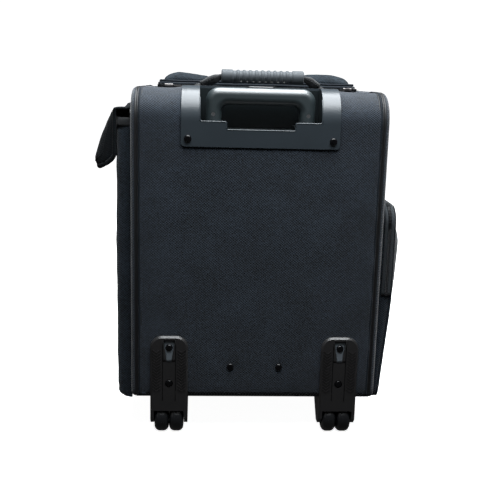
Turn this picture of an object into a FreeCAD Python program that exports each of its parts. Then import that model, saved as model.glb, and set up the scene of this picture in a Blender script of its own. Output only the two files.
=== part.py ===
import FreeCAD, Part
import Sketcher
import os
from FreeCAD import Placement, Rotation, Vector

# A wheeled pilot flight case: a fabric-covered board case that loads from the top, with a zipped lid,
# a two-stage trolley handle in a recess of the back panel, a sprung release button, a padded carry handle,
# an open side pocket with a flap, two zipped pockets, two twin-wheel casters and two front feet.
# Millimetres. +Z is up and the floor is Z = 0.
# +Y runs from the trolley side to the pocket side at the front.

# Driving dimensions: alias, value, meaning. Heights named *_drop are measured down from the case's top,
# and distances named *_in are measured forward from the outer plane of the back panel.
SIZES = [
    ("case_wide", 334, "case width over the covers"),
    ("case_deep", 226, "case depth over the covers"),
    ("case_high", 415, "case height over the covers"),
    ("base_z", 52, "height of the case's base over the floor"),
    ("back_y", -126, "outer plane of the back panel"),
    ("cover_thick", 2.6, "fabric and foam cover"),
    ("board_thick", 2.8, "stiffening board"),
    ("side_radius", 7, "rounding where the sides meet the other panels"),
    ("roll_radius", 40, "roll of the back panel over the top"),
    ("front_radius", 14, "roll of the front panel over the top"),
    ("base_radius", 7, "rounding along the base"),
    ("mouth_half", 131, "half width of the top opening"),
    ("mouth_rear_in", 80, "rear edge of the top opening"),
    ("mouth_front_in", 206, "front edge of the top opening"),
    ("piping_radius", 2.4, "cord in the piped seams"),
    ("inner_wall_in", 50, "rear face of the inner wall that hides the tubes"),
    ("inner_wall_thick", 2, "inner wall"),
    ("bezel_half", 102, "half width of the trolley bezel"),
    ("bezel_thick", 3, "trolley bezel"),
    ("bezel_drop", 73, "lower edge of the bezel"),
    ("bezel_reach_in", 52, "front edge of the bezel on the case's top"),
    ("bezel_corner", 5, "corner radius of the bezel"),
    ("window_half", 79, "half width of the bezel's window"),
    ("window_drop", 41, "lower edge of the window"),
    ("window_reach_in", 49.2, "front edge of the window on the case's top"),
    ("cup_drop", 46, "floor of the trolley cup"),
    ("notch_half", 44, "half width of the finger notch"),
    ("notch_drop", 51, "lower edge of the finger notch"),
    ("cup_wall", 2.4, "wall of the trolley cup"),
    ("cup_deep", 46.6, "inside depth of the trolley cup"),
    ("tube_half", 61.5, "half of the distance between the trolley tubes"),
    ("tube_in", 24, "centre of the trolley tubes"),
    ("tube_wall", 1, "wall of every trolley tube"),
    ("outer_tube_wide", 16, "outer tube across"),
    ("outer_tube_deep", 21, "outer tube front to back"),
    ("tube_gap", 0.3, "running gap between the telescoping tubes"),
    ("outer_tube_foot", 66, "lower end of the outer tubes"),
    ("middle_tube_foot", 72, "lower end of the middle tubes"),
    ("inner_tube_foot", 88, "lower end of the inner tubes"),
    ("collar_high", 4, "collar on top of each middle tube"),
    ("collar_lip", 2, "collar's lip around the tube"),
    ("plug_high", 8, "foot plug of each middle tube"),
    ("lock_plug_high", 16, "foot plug with the lock in each inner tube"),
    ("lock_pin_radius", 2.2, "lock pin"),
    ("grip_half", 71, "half width of the trolley grip"),
    ("grip_top_rise", 2, "top of the stowed grip over the case's top"),
    ("grip_foot_drop", 41, "lower end of the grip's legs"),
    ("grip_deep", 26, "grip front to back"),
    ("grip_leg", 20.5, "width of a grip leg"),
    ("grip_beam", 22, "height of the grip's beam"),
    ("grip_corner", 17, "outer corner radius of the grip"),
    ("grip_inner_corner", 9, "corner radius inside the grip"),
    ("grip_edge", 9.5, "edge rounding of the grip"),
    ("button_half", 18, "half width of the release button"),
    ("button_deep", 9, "release button front to back"),
    ("button_proud", 2, "how far the button stands out of the grip"),
    ("button_travel", 3, "stroke of the release button"),
    ("yoke_high", 5, "yoke that joins the push rods"),
    ("rod_radius", 1.6, "push rod"),
    ("slide_gap", 0.4, "gap around the button and the yoke"),
    ("rivet_radius", 4.9, "head of a panel rivet"),
    ("rivet_head", 2.6, "height of a rivet head"),
    ("rivet_shank", 2, "radius of a rivet shank"),
    ("bezel_rivet_x", 93.5, "bezel rivets from the centre"),
    ("bezel_rivet_drop", 63, "bezel rivets below the top"),
    ("bracket_rivet_x", 33, "bracket rivets from the centre"),
    ("bracket_rivet_z", 97, "height of the bracket rivets"),
    ("bracket_half", 75, "half width of the tube bracket"),
    ("bracket_thick", 2, "sheet of the tube bracket"),
    ("caster_x", 115.5, "caster centre from the case's centre"),
    ("caster_half", 25.3, "half width of a caster housing"),
    ("caster_proud", 6, "how far a caster plate stands out of the back"),
    ("caster_top_z", 141, "top of a caster plate"),
    ("caster_corner", 16, "top corner radius of a caster plate"),
    ("caster_lip_z", 35, "lower edge of the plate over the wheels"),
    ("caster_reach_in", 46, "front end of a caster under the case"),
    ("bay_half", 20.5, "half width of the wheel bay"),
    ("bay_radius", 22.5, "radius of the wheel bay"),
    ("axle_in", 12, "wheel axle"),
    ("axle_radius", 3, "wheel axle radius"),
    ("leg_radius", 6.5, "rounding of a caster leg round the axle"),
    ("wheel_radius", 20, "wheel"),
    ("wheel_wide", 19.5, "tread width of one wheel"),
    ("wheel_gap", 0.6, "gap between the two wheels of a caster"),
    ("wheel_shoulder", 7.5, "rounding of the wheel's shoulders"),
    ("wheel_play", 0.06, "radial play of a wheel on its axle"),
    ("caster_rivet_high_z", 125, "upper caster rivet"),
    ("caster_rivet_low_z", 74.5, "lower caster rivet"),
    ("chevron_pitch", 4.2, "spacing of the chevron ribs"),
    ("chevron_proud", 0.6, "height of the chevron ribs"),
    ("chevron_rib", 1.3, "width of a chevron rib"),
    ("foot_x", 112, "front foot from the case's centre"),
    ("foot_wide", 46, "front foot across"),
    ("foot_deep", 30, "front foot front to back"),
    ("foot_in", 180, "rear side of a front foot"),
    ("pocket_wall", 2.5, "wall of the pockets"),
    ("pocket_rear_in", 17, "rear side of the side pockets"),
    ("pocket_front_in", 207, "front side of the side pockets"),
    ("left_pocket_deep", 19, "how far the left pocket stands out"),
    ("left_pocket_top_z", 426, "mouth of the left pocket"),
    ("flap_thick", 3.2, "flap of the left pocket"),
    ("flap_hinge_z", 440, "seam that the flap turns about"),
    ("flap_corner", 24, "corner radius of the flap"),
    ("right_foot_deep", 18, "right pocket's depth at its foot"),
    ("right_top_deep", 43, "right pocket's depth at its bulge"),
    ("right_bulge_z", 263, "height of the right pocket's bulge"),
    ("right_gusset", 21, "depth of the right pocket's gusset"),
    ("right_belly", 42, "run over which the right pocket bellies out"),
    ("pocket_foot_z", 47, "foot of the side pockets"),
    ("right_top_z", 315, "top of the right pocket"),
    ("right_edge", 12, "edge rounding of the right pocket"),
    ("zip_wide", 9, "width of a pocket's zip band"),
    ("right_zip_x", 178, "centre of the right pocket's zip band"),
    ("right_zip_foot_z", 195, "lower end of the right pocket's zip"),
    ("front_half", 138, "half width of the front pocket"),
    ("front_deep", 34, "depth of the front pocket"),
    ("front_foot_z", 66, "lower edge of the front pocket"),
    ("front_top_z", 388, "top of the front pocket"),
    ("front_corner", 30, "corner radius of the front pocket"),
    ("front_edge", 11, "edge rounding of the front pocket"),
    ("front_zip_foot_z", 205, "lower ends of the front pocket's zip"),
    ("lid_half", 135, "half width of the lid"),
    ("lid_rear_in", 83, "rear edge of the lid"),
    ("lid_front_in", 214, "front edge of the lid"),
    ("lid_pad_thick", 13, "padding on the lid"),
    ("lid_corner", 16, "plan corner radius of the lid"),
    ("lid_edge", 6, "edge rounding of the lid's padding"),
    ("zip_tape_wide", 7, "width of the mouth's zip tape"),
    ("zip_tape_thick", 1.4, "thickness of the mouth's zip tape"),
    ("handle_in", 61.5, "axis of the carry handle"),
    ("handle_axis_lift", 5, "axis of the carry handle over the case's top"),
    ("handle_half", 77, "half distance between the handle's anchors"),
    ("handle_grip_half", 55, "half length of the handle's rubber grip"),
    ("handle_shift", 4, "how far the rubber grip sits to the right of the middle"),
    ("handle_rise", 11, "rise of the grip's ends over the anchors"),
    ("strap_radius", 4.2, "rolled webbing of the carry handle"),
    ("handle_grip_radius", 7.9, "rubber grip of the carry handle"),
    ("handle_rib_radius", 8.6, "ribs of the rubber grip"),
    ("handle_rib_pitch", 8.2, "spacing of the ribs"),
    ("anchor_long", 24, "webbing anchor of the carry handle"),
    ("anchor_deep", 18, "width of the anchor"),
    ("anchor_thick", 2, "thickness of the anchor"),
    ("slider_long", 11, "zip slider along the zip"),
    ("slider_wide", 6, "zip slider across the zip"),
    ("slider_high", 4, "zip slider height"),
    ("lid_slider_x", 121, "lid sliders from the centre"),
    ("disc_pull", 7, "round pull of the right lid slider"),
    ("pull_long", 17, "zip pull"),
    ("pull_wide", 5, "zip pull across"),
    ("pull_thick", 1.4, "zip pull thickness"),
]
X_AXIS, Y_AXIS, Z_AXIS = Vector(1, 0, 0), Vector(0, 1, 0), Vector(0, 0, 1)
OVER = 5  # how far a cutting solid runs past the face that it cuts
NEAR = 1e-4  # two positions closer than this are the same

doc = FreeCAD.newDocument("flight_case")
sub_parts = []


class Size:
    """A number that also knows the spreadsheet formula it comes from."""

    def __init__(self, value, formula):
        self.value, self.formula = float(value), formula

    def __add__(self, other):
        return Size(self.value + float(other), f"({self.formula} + {formula(other)})")

    def __radd__(self, other):
        return Size(float(other) + self.value, f"({formula(other)} + {self.formula})")

    def __sub__(self, other):
        return Size(self.value - float(other), f"({self.formula} - {formula(other)})")

    def __rsub__(self, other):
        return Size(float(other) - self.value, f"({formula(other)} - {self.formula})")

    def __mul__(self, other):
        return Size(self.value * float(other), f"({self.formula} * {formula(other)})")

    __rmul__ = __mul__

    def __truediv__(self, other):
        return Size(self.value / float(other), f"({self.formula} / {formula(other)})")

    def __neg__(self):
        return Size(-self.value, f"(0 - {self.formula})")

    def __float__(self):
        return self.value


def formula(size):
    """The formula of a Size, or a plain number as text."""
    return size.formula if isinstance(size, Size) else repr(float(size))


class Cells:
    """The cells of the spreadsheet, each as a Size."""


def make_cells():
    """Writes the driving dimensions to a spreadsheet and returns them as Sizes."""
    sheet = doc.addObject("Spreadsheet::Sheet", "Sizes")
    cells = Cells()
    for row, (alias, value, meaning) in enumerate(SIZES, start=1):
        sheet.set(f"A{row}", meaning)
        sheet.set(f"B{row}", str(value))
        sheet.setAlias(f"B{row}", alias)
        setattr(cells, alias, Size(value, f"Sizes.{alias}"))
    doc.recompute()
    return cells


S = make_cells()
HALF = S.case_wide / 2
SEAM = HALF - S.side_radius
BACK = S.back_y
FRONT = S.back_y + S.case_deep
BASE = S.base_z
TOP = S.base_z + S.case_high
LINING = S.cover_thick + S.board_thick
TUBE_Y = BACK + S.tube_in
GRIP_TOP = TOP + S.grip_top_rise
GRIP_FOOT = TOP - S.grip_foot_drop
BEAM_FOOT = GRIP_TOP - S.grip_beam
AXLE_Y = BACK + S.axle_in
CUP_FLOOR = TOP - S.cup_drop
WINDOW_FOOT = TOP - S.window_drop


# ---- ways to make a shape ----------------------------------------------------------------------------

def bind(thing, **formulas):
    """Binds properties of an object to formulas of the spreadsheet. A dot in a name is written as __."""
    for name, size in formulas.items():
        thing.setExpression(name.replace("__", "."), formula(size))


def move(thing, x=0, y=0, z=0):
    """Places an object at x, y, z, bound to the spreadsheet."""
    thing.Placement = Placement(Vector(float(x), float(y), float(z)), thing.Placement.Rotation)
    bind(thing, Placement__Base__x=x, Placement__Base__y=y, Placement__Base__z=z)
    return thing


def slab(name, x, y, z):
    """A box between two planes each way, each given as (low, high)."""
    box = doc.addObject("Part::Box", name)
    bind(box, Length=x[1] - x[0], Width=y[1] - y[0], Height=z[1] - z[0])
    return move(box, x[0], y[0], z[0])


def wide(half):
    """The span from -half to half."""
    return (-half, half)


def rod(name, radius, start, length, axis="z"):
    """A cylinder from start along an axis."""
    cylinder = doc.addObject("Part::Cylinder", name)
    bind(cylinder, Radius=radius, Height=length)
    turn = {"x": Rotation(Y_AXIS, 90), "y": Rotation(X_AXIS, -90), "z": Rotation()}[axis]
    cylinder.Placement = Placement(Vector(), turn)
    return move(cylinder, *start)


def cut(name, base, *tools):
    """base less the tools."""
    tool = tools[0] if len(tools) == 1 else fuse(name + "_tools", *tools)
    result = doc.addObject("Part::Cut", name)
    result.Base, result.Tool = base, tool
    return result


def fuse(name, *shapes):
    """The shapes as one."""
    result = doc.addObject("Part::MultiFuse", name)
    result.Shapes = list(shapes)
    return result


def common(name, *shapes):
    """What the shapes share."""
    result = doc.addObject("Part::MultiCommon", name)
    result.Shapes = list(shapes)
    return result


def mirrored(name, source):
    """source on the other side of the case's middle plane."""
    result = doc.addObject("Part::Mirroring", name)
    result.Source, result.Normal, result.Base = source, X_AXIS, Vector()
    return result


def group(name, *shapes):
    """Separate solids that share one node."""
    result = doc.addObject("Part::Compound", name)
    result.Links = list(shapes)
    return result


def pair(name, source):
    """source and its mirror image as one node."""
    return group(name, source, mirrored(name + "_mirror", source))


def copies(name, source, places):
    """source at each of the places, as one node."""
    links = []
    for number, place in enumerate(places, start=1):
        link = doc.addObject("App::Link", f"{name}_{number}")
        link.LinkedObject, link.LinkTransform = source, True
        links.append(move(link, *place))
    return group(name, *links)


def from_code(name, shape):
    """A shape that Part's functions made, as an object of the document."""
    result = doc.addObject("Part::Feature", name)
    result.Shape = shape
    return result


def keep(thing, label):
    """Marks an object as a sub-part, under the label that names its file."""
    thing.Label = label
    sub_parts.append(thing)
    return thing


def along(axis):
    """A test for straight edges along an axis: x, y or z."""
    spans = {"x": ("YLength", "ZLength"), "y": ("XLength", "ZLength"), "z": ("XLength", "YLength")}[axis]
    return lambda edge: all(getattr(edge.BoundBox, span) < NEAR for span in spans)


def centre(edge):
    return edge.BoundBox.Center


def near(value, size):
    return abs(value - float(size)) < NEAR


def edge_numbers(shape, test):
    """The numbers of the edges that pass a test."""
    numbers = [i for i, edge in enumerate(shape.Edges, start=1) if test(edge)]
    if not numbers:
        raise ValueError("no edge passes the test")
    return numbers


def rounded(name, base, radius, test):
    """base with the edges that pass the test rounded."""
    doc.recompute()
    result = doc.addObject("Part::Fillet", name)
    result.Base = base
    result.Edges = [(i, float(radius), float(radius)) for i in edge_numbers(base.Shape, test)]
    return result


def new_body(name):
    return doc.addObject("PartDesign::Body", name)


def new_sketch(body, name, plane, at):
    """A sketch on a plane of the body's origin, moved along the axis across it to the position at."""
    sketch = body.newObject("Sketcher::SketchObject", name)
    role = plane + "_Plane"
    sketch.AttachmentSupport = ([f for f in body.Origin.OriginFeatures if f.Role == role][0], "")
    sketch.MapMode = "FlatFace"
    depth = -at if plane == "XZ" else at
    sketch.AttachmentOffset = Placement(Vector(0, 0, float(depth)), Rotation())
    sketch.setExpression("AttachmentOffset.Base.z", formula(depth))
    return sketch


def hold(sketch, geometry, point, x, y):
    """Fixes a point of a sketch at x, y, bound to the spreadsheet."""
    for kind, size, axis in (("DistanceX", x, -2), ("DistanceY", y, -1)):
        if abs(float(size)) < NEAR:
            sketch.addConstraint(Sketcher.Constraint("PointOnObject", geometry, point, axis))
        else:
            number = sketch.addConstraint(Sketcher.Constraint(kind, -1, 1, geometry, point, float(size)))
            sketch.setExpression(f"Constraints[{number}]", formula(size))


def outline(sketch, *points):
    """A closed outline of straight lines whose corners are bound to the spreadsheet."""
    first, count = sketch.GeometryCount, len(points)
    spots = [Vector(float(x), float(y), 0) for x, y in points]
    for i in range(count):
        sketch.addGeometry(Part.LineSegment(spots[i], spots[(i + 1) % count]))
    for i in range(count):
        sketch.addConstraint(Sketcher.Constraint("Coincident", first + i, 2, first + (i + 1) % count, 1))
    for i, (x, y) in enumerate(points):
        hold(sketch, first + i, 1, x, y)


def circle(sketch, x, y, radius):
    number = sketch.addGeometry(Part.Circle(Vector(float(x), float(y), 0), Z_AXIS, float(radius)))
    hold(sketch, number, 3, x, y)
    limit = sketch.addConstraint(Sketcher.Constraint("Radius", number, float(radius)))
    sketch.setExpression(f"Constraints[{limit}]", formula(radius))


def stadium(sketch, x, y, across, deep):
    """A slot outline centred on x, y: across wide, with half-round ends, deep from end to end."""
    radius, reach = across / 2, (deep - across) / 2
    first = sketch.GeometryCount
    low, high = y - reach, y + reach
    left, right = float(x - radius), float(x + radius)
    sketch.addGeometry(Part.LineSegment(Vector(right, float(low), 0), Vector(right, float(high), 0)))
    top_circle = Part.Circle(Vector(float(x), float(high), 0), Z_AXIS, float(radius))
    sketch.addGeometry(Part.ArcOfCircle(top_circle, 0, 3.141592653589793))
    sketch.addGeometry(Part.LineSegment(Vector(left, float(high), 0), Vector(left, float(low), 0)))
    low_circle = Part.Circle(Vector(float(x), float(low), 0), Z_AXIS, float(radius))
    sketch.addGeometry(Part.ArcOfCircle(low_circle, 3.141592653589793, 6.283185307179586))
    for i in range(4):
        sketch.addConstraint(Sketcher.Constraint("Tangent", first + i, 2, first + (i + 1) % 4, 1))
    hold(sketch, first + 1, 3, x, high)
    hold(sketch, first + 3, 3, x, low)
    limit = sketch.addConstraint(Sketcher.Constraint("Radius", first + 1, float(radius)))
    sketch.setExpression(f"Constraints[{limit}]", formula(radius))


def pad(body, name, plane, start, length, draw):
    """Adds material from start, over length, along the axis across the plane."""
    sketch = new_sketch(body, name + "_sketch", plane, start)
    draw(sketch)
    feature = body.newObject("PartDesign::Pad", name)
    feature.Profile, feature.Reversed = sketch, plane == "XZ"
    bind(feature, Length=length)
    return feature


def pocket(body, name, plane, start, length, draw):
    """Removes material from start, over length, along the axis across the plane."""
    sketch = new_sketch(body, name + "_sketch", plane, start)
    draw(sketch)
    feature = body.newObject("PartDesign::Pocket", name)
    feature.Profile, feature.Reversed = sketch, plane != "XZ"
    bind(feature, Length=length)
    doc.recompute()
    return feature


def revolve(body, name, plane, draw, axis="H_Axis"):
    """A full turn of a sketch about its horizontal or vertical axis."""
    sketch = new_sketch(body, name + "_sketch", plane, 0)
    draw(sketch)
    feature = body.newObject("PartDesign::Revolution", name)
    feature.Profile, feature.ReferenceAxis, feature.Angle = sketch, (sketch, [axis]), 360
    return feature


def soften(body, name, radius, test, kind="Fillet"):
    """Rounds, or chamfers, the edges of the body's last feature that pass a test."""
    doc.recompute()
    base = body.Tip
    feature = body.newObject("PartDesign::" + kind, name)
    feature.Base = (base, [f"Edge{i}" for i in edge_numbers(base.Shape, test)])
    bind(feature, **{"Radius" if kind == "Fillet" else "Size": radius})
    return feature


# ---- the case: covers, boards and seams --------------------------------------------------------------

def case_form(name, inset, round_sides=True):
    """The case's block, drawn in from its outer surface by inset all round."""
    body = new_body(name)
    corners = [(BACK + inset, BASE + inset), (FRONT - inset, BASE + inset),
               (FRONT - inset, TOP - inset), (BACK + inset, TOP - inset)]
    side = HALF - inset
    pad(body, name + "_block", "YZ", -side, side * 2, lambda sketch: outline(sketch, *corners))
    across = along("x")
    middle_y, middle_z = float(BACK + FRONT) / 2, float(BASE + TOP) / 2
    soften(body, name + "_roll", S.roll_radius - inset,
           lambda e: across(e) and centre(e).z > middle_z and centre(e).y < middle_y)
    soften(body, name + "_brow", S.front_radius - inset,
           lambda e: across(e) and near(centre(e).z, TOP - inset) and near(centre(e).y, FRONT - inset))
    soften(body, name + "_keel", S.base_radius - inset,
           lambda e: across(e) and near(centre(e).z, BASE + inset)
           and (near(centre(e).y, BACK + inset) or near(centre(e).y, FRONT - inset)))
    if round_sides:
        soften(body, name + "_sides", S.side_radius - inset,
               lambda e: e.BoundBox.XLength < NEAR and near(abs(centre(e).x), side))
    return body


def cup_space(name, wall):
    """The trolley cup's inside, grown by a wall: a wide well for the grip and a deeper notch for fingers."""
    well = slab(name + "_well", wide(S.window_half + wall), (BACK - OVER, BACK + S.cup_deep + wall),
                (CUP_FLOOR - wall, TOP + OVER * 2))
    notch = slab(name + "_notch", wide(S.notch_half + wall), (BACK - OVER, BACK + S.cup_deep + wall),
                 (TOP - S.notch_drop - wall, CUP_FLOOR + OVER))
    return fuse(name, well, notch)


def rivet_places():
    """Where the panel rivets sit, as x, y, z of the plane under each head."""
    bezel = [(x, BACK - S.bezel_thick, TOP - S.bezel_rivet_drop) for x in wide(S.bezel_rivet_x)]
    bracket = [(x, BACK, S.bracket_rivet_z) for x in wide(S.bracket_rivet_x)]
    plate = BACK - S.caster_proud + CASTER_DISH
    caster = [(x, plate, z) for x in wide(S.caster_x) for z in (S.caster_rivet_high_z, S.caster_rivet_low_z)]
    return bezel + bracket + caster


CASTER_DISH = 2.2  # how deep the rivet seats are sunk in a caster plate
SHANK_REACH = 12  # rivet shank, from under the head to behind the board


def make_panels():
    """The fabric covers and the boards behind them, each cut from its own layer of the case's wall."""
    outer = case_form("outer_form", 0)
    middle = case_form("board_form", S.cover_thick)
    inner = case_form("inner_form", LINING)
    layers = {"cover": cut("cover_layer", outer, middle), "board": cut("board_layer", middle, inner)}
    rear, front, floor = BACK + S.mouth_rear_in, BACK + S.mouth_front_in, BASE + S.base_radius
    over_y, over_z = (BACK - OVER, FRONT + OVER), (BASE - OVER, TOP + OVER)
    zones = {
        "back": slab("back_zone", wide(SEAM), (BACK - OVER, rear), (floor, TOP + OVER)),
        "front": slab("front_zone", wide(SEAM), (front, FRONT + OVER), (floor, TOP + OVER)),
        "base": slab("base_zone", wide(SEAM), over_y, (BASE - OVER, floor)),
    }
    for side, sign in (("left", -1), ("right", 1)):
        spans = sorted([SEAM * sign, (HALF + OVER) * sign], key=float)
        strip = sorted([S.mouth_half * sign, SEAM * sign], key=float)
        wall = slab(side + "_wall_zone", spans, over_y, over_z)
        brow = slab(side + "_strip_zone", strip, (rear, front), (TOP - S.roll_radius / 2, TOP + OVER))
        zones[side] = fuse(side + "_zone", wall, brow)
    hole = cup_space("cup_hole", S.cup_wall)
    bore = rod("rivet_bore", S.rivet_shank, (0, 0, 0), SHANK_REACH + 1, "y")
    bores = copies("rivet_bores", bore, rivet_places())
    for side, zone in zones.items():
        for kind, layer in layers.items():
            panel = common(f"{side}_{kind}_piece", layer, zone)
            if side == "back":
                panel = cut(f"back_{kind}_cut", panel, hole, bores)
            keep(panel, f"{side}_{kind}")
    wall_rear = BACK + S.inner_wall_in
    wall = slab("inner_wall_slab", wide(HALF), (wall_rear, wall_rear + S.inner_wall_thick), over_z)
    keep(common("inner_wall_piece", wall, inner), "inner_wall")
    return outer, hole, bores


def seam_cord(x, face_y, turn, radius, end_y):
    """The cord of a piped seam: up a face of the case, round its roll and along its top to end_y."""
    base, top, bend = float(BASE + S.base_radius), float(TOP), float(radius)
    middle = Vector(x, face_y + turn * bend, top - bend)
    half_way = middle + Vector(0, -turn, 1).normalize() * bend
    start, knee = Vector(x, face_y, base), Vector(x, face_y, top - bend)
    crest, end = Vector(x, face_y + turn * bend, top), Vector(x, end_y, top)
    path = Part.Wire([Part.LineSegment(start, knee).toShape(), Part.Arc(knee, half_way, crest).toShape(),
                      Part.LineSegment(crest, end).toShape()])
    ring = Part.Wire([Part.Circle(start, Z_AXIS, float(S.piping_radius)).toShape()])
    return path.makePipeShell([ring], True, False)


def make_piping(outer):
    """Piped seams between the sides and the back and front panels, bedded in the case's surface."""
    doc.recompute()
    cords = []
    for x in (-float(SEAM), float(SEAM)):
        cords.append(seam_cord(x, float(BACK), 1, S.roll_radius, float(BACK + S.mouth_rear_in)))
        cords.append(seam_cord(x, float(FRONT), -1, S.front_radius, float(BACK + S.mouth_front_in)))
    proud = [cord.cut(outer.Shape) for cord in cords]
    keep(from_code("piping_cords", Part.makeCompound(proud)), "edge_piping")


# ---- the trolley -------------------------------------------------------------------------------------

def make_bezel(outer, bores):
    """The moulded frame round the trolley recess, which follows the roll of the back panel."""
    crust = cut("bezel_crust", case_form("bezel_form", -S.bezel_thick, False), outer)
    zone = slab("bezel_zone", wide(S.bezel_half), (BACK - OVER * 2, BACK + S.bezel_reach_in),
                (TOP - S.bezel_drop, TOP + OVER * 2))
    plate = rounded("bezel_plate", common("bezel_sheet", crust, zone), S.bezel_corner,
                    lambda e: along("y")(e) and near(centre(e).z, TOP - S.bezel_drop))
    window = slab("bezel_window", wide(S.window_half), (BACK - OVER * 2, BACK + S.window_reach_in),
                  (WINDOW_FOOT, TOP + OVER * 2))
    notch = slab("bezel_notch", wide(S.notch_half), (BACK - OVER * 2, BACK + OVER),
                 (TOP - S.notch_drop, WINDOW_FOOT + OVER))
    keep(cut("bezel_open", plate, window, notch, bores), "trolley_bezel")


def tube_body(name, across, deep, foot, head, hollow=True):
    """One straight stadium tube at the left trolley post, or a solid bar of that section."""
    body = new_body(name)
    pad(body, name + "_wall", "XY", foot, head - foot,
        lambda sketch: stadium(sketch, -S.tube_half, TUBE_Y, across, deep))
    if hollow:
        wall = S.tube_wall * 2
        pocket(body, name + "_bore", "XY", foot - 1, head - foot + 2,
               lambda sketch: stadium(sketch, -S.tube_half, TUBE_Y, across - wall, deep - wall))
    return body


def make_cup(outer, hole):
    """The moulded cup that the grip sinks into, with two holes for the tubes in its floor."""
    block = common("cup_block", hole, outer)
    bore = tube_body("cup_tube_hole", MIDDLE_BORE[0], MIDDLE_BORE[1], CUP_FLOOR - OVER,
                     CUP_FLOOR + OVER, False)
    keep(cut("cup_open", block, cup_space("cup_inside", 0), pair("cup_tube_holes", bore)), "trolley_cup")


STEP = (S.tube_wall + S.tube_gap) * 2
MIDDLE_BORE = (S.outer_tube_wide - S.tube_wall * 2, S.outer_tube_deep - S.tube_wall * 2)
MIDDLE_TUBE = (S.outer_tube_wide - STEP, S.outer_tube_deep - STEP)
INNER_TUBE = (MIDDLE_TUBE[0] - STEP, MIDDLE_TUBE[1] - STEP)
COLLAR_FOOT = CUP_FLOOR + S.tube_gap


def make_tubes():
    """The three nested tubes on each side, with the collars and foot plugs that guide them."""
    wall = S.tube_wall * 2
    outer_head = CUP_FLOOR - S.cup_wall
    outer = tube_body("outer_tube", S.outer_tube_wide, S.outer_tube_deep, S.outer_tube_foot, outer_head)
    keep(pair("outer_tube_pair", outer), "outer_tubes")
    middle = tube_body("middle_tube", *MIDDLE_TUBE, S.middle_tube_foot, COLLAR_FOOT + S.collar_high)
    keep(pair("middle_tube_pair", middle), "middle_tubes")
    collar = tube_body("collar_block", MIDDLE_TUBE[0] + S.collar_lip * 2, MIDDLE_TUBE[1] + S.collar_lip * 2,
                       COLLAR_FOOT, COLLAR_FOOT + S.collar_high, False)
    hole = tube_body("collar_hole", *MIDDLE_TUBE, COLLAR_FOOT - 1, COLLAR_FOOT + S.collar_high + 1, False)
    keep(pair("collar_pair", cut("collar", collar, hole)), "middle_collars")
    plug = tube_body("middle_plug", MIDDLE_TUBE[0] - wall, MIDDLE_TUBE[1] - wall, S.middle_tube_foot,
                     S.middle_tube_foot + S.plug_high, False)
    keep(pair("middle_plug_pair", plug), "middle_plugs")
    inner = tube_body("inner_tube", *INNER_TUBE, S.inner_tube_foot, BEAM_FOOT + 1)
    pin_z = S.inner_tube_foot + S.lock_plug_high / 2
    pin = rod("lock_pin_bore", S.lock_pin_radius, (-S.tube_half, TUBE_Y - S.outer_tube_deep / 2, pin_z),
              S.outer_tube_deep, "y")
    keep(pair("inner_tube_pair", cut("inner_tube_open", inner, pin)), "inner_tubes")
    lock = tube_body("lock_plug", INNER_TUBE[0] - wall, INNER_TUBE[1] - wall, S.inner_tube_foot,
                     S.inner_tube_foot + S.lock_plug_high, False)
    keep(pair("lock_plug_pair", cut("lock_plug_open", lock, pin)), "lock_plugs")
    flush = tube_body("lock_pin_zone", *INNER_TUBE, S.inner_tube_foot,
                      S.inner_tube_foot + S.lock_plug_high, False)
    keep(pair("lock_pin_pair", common("lock_pin", pin, flush)), "lock_pins")


def make_bracket(bores):
    """The pressed bracket that ties the feet of the outer tubes to the back panel."""
    face = BACK + LINING
    sheet = slab("bracket_sheet", wide(S.bracket_half), (face, face + S.bracket_thick),
                 (S.outer_tube_foot, S.bracket_rivet_z + S.leg_radius))
    rim = S.bracket_thick * 2
    socket = slab("bracket_socket", (-S.tube_half - S.outer_tube_wide / 2 - rim,
                                     -S.tube_half + S.outer_tube_wide / 2 + rim),
                  (face, TUBE_Y + S.outer_tube_deep / 2 + rim),
                  (S.outer_tube_foot - rim, S.outer_tube_foot + S.plug_high))
    seat = tube_body("bracket_seat", S.outer_tube_wide, S.outer_tube_deep, S.outer_tube_foot,
                     S.outer_tube_foot + S.plug_high + 1, False)
    shape = fuse("bracket_shape", sheet, socket, mirrored("bracket_socket_mirror", socket))
    keep(cut("bracket_open", shape, pair("bracket_seats", seat), bores), "tube_bracket")


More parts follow.
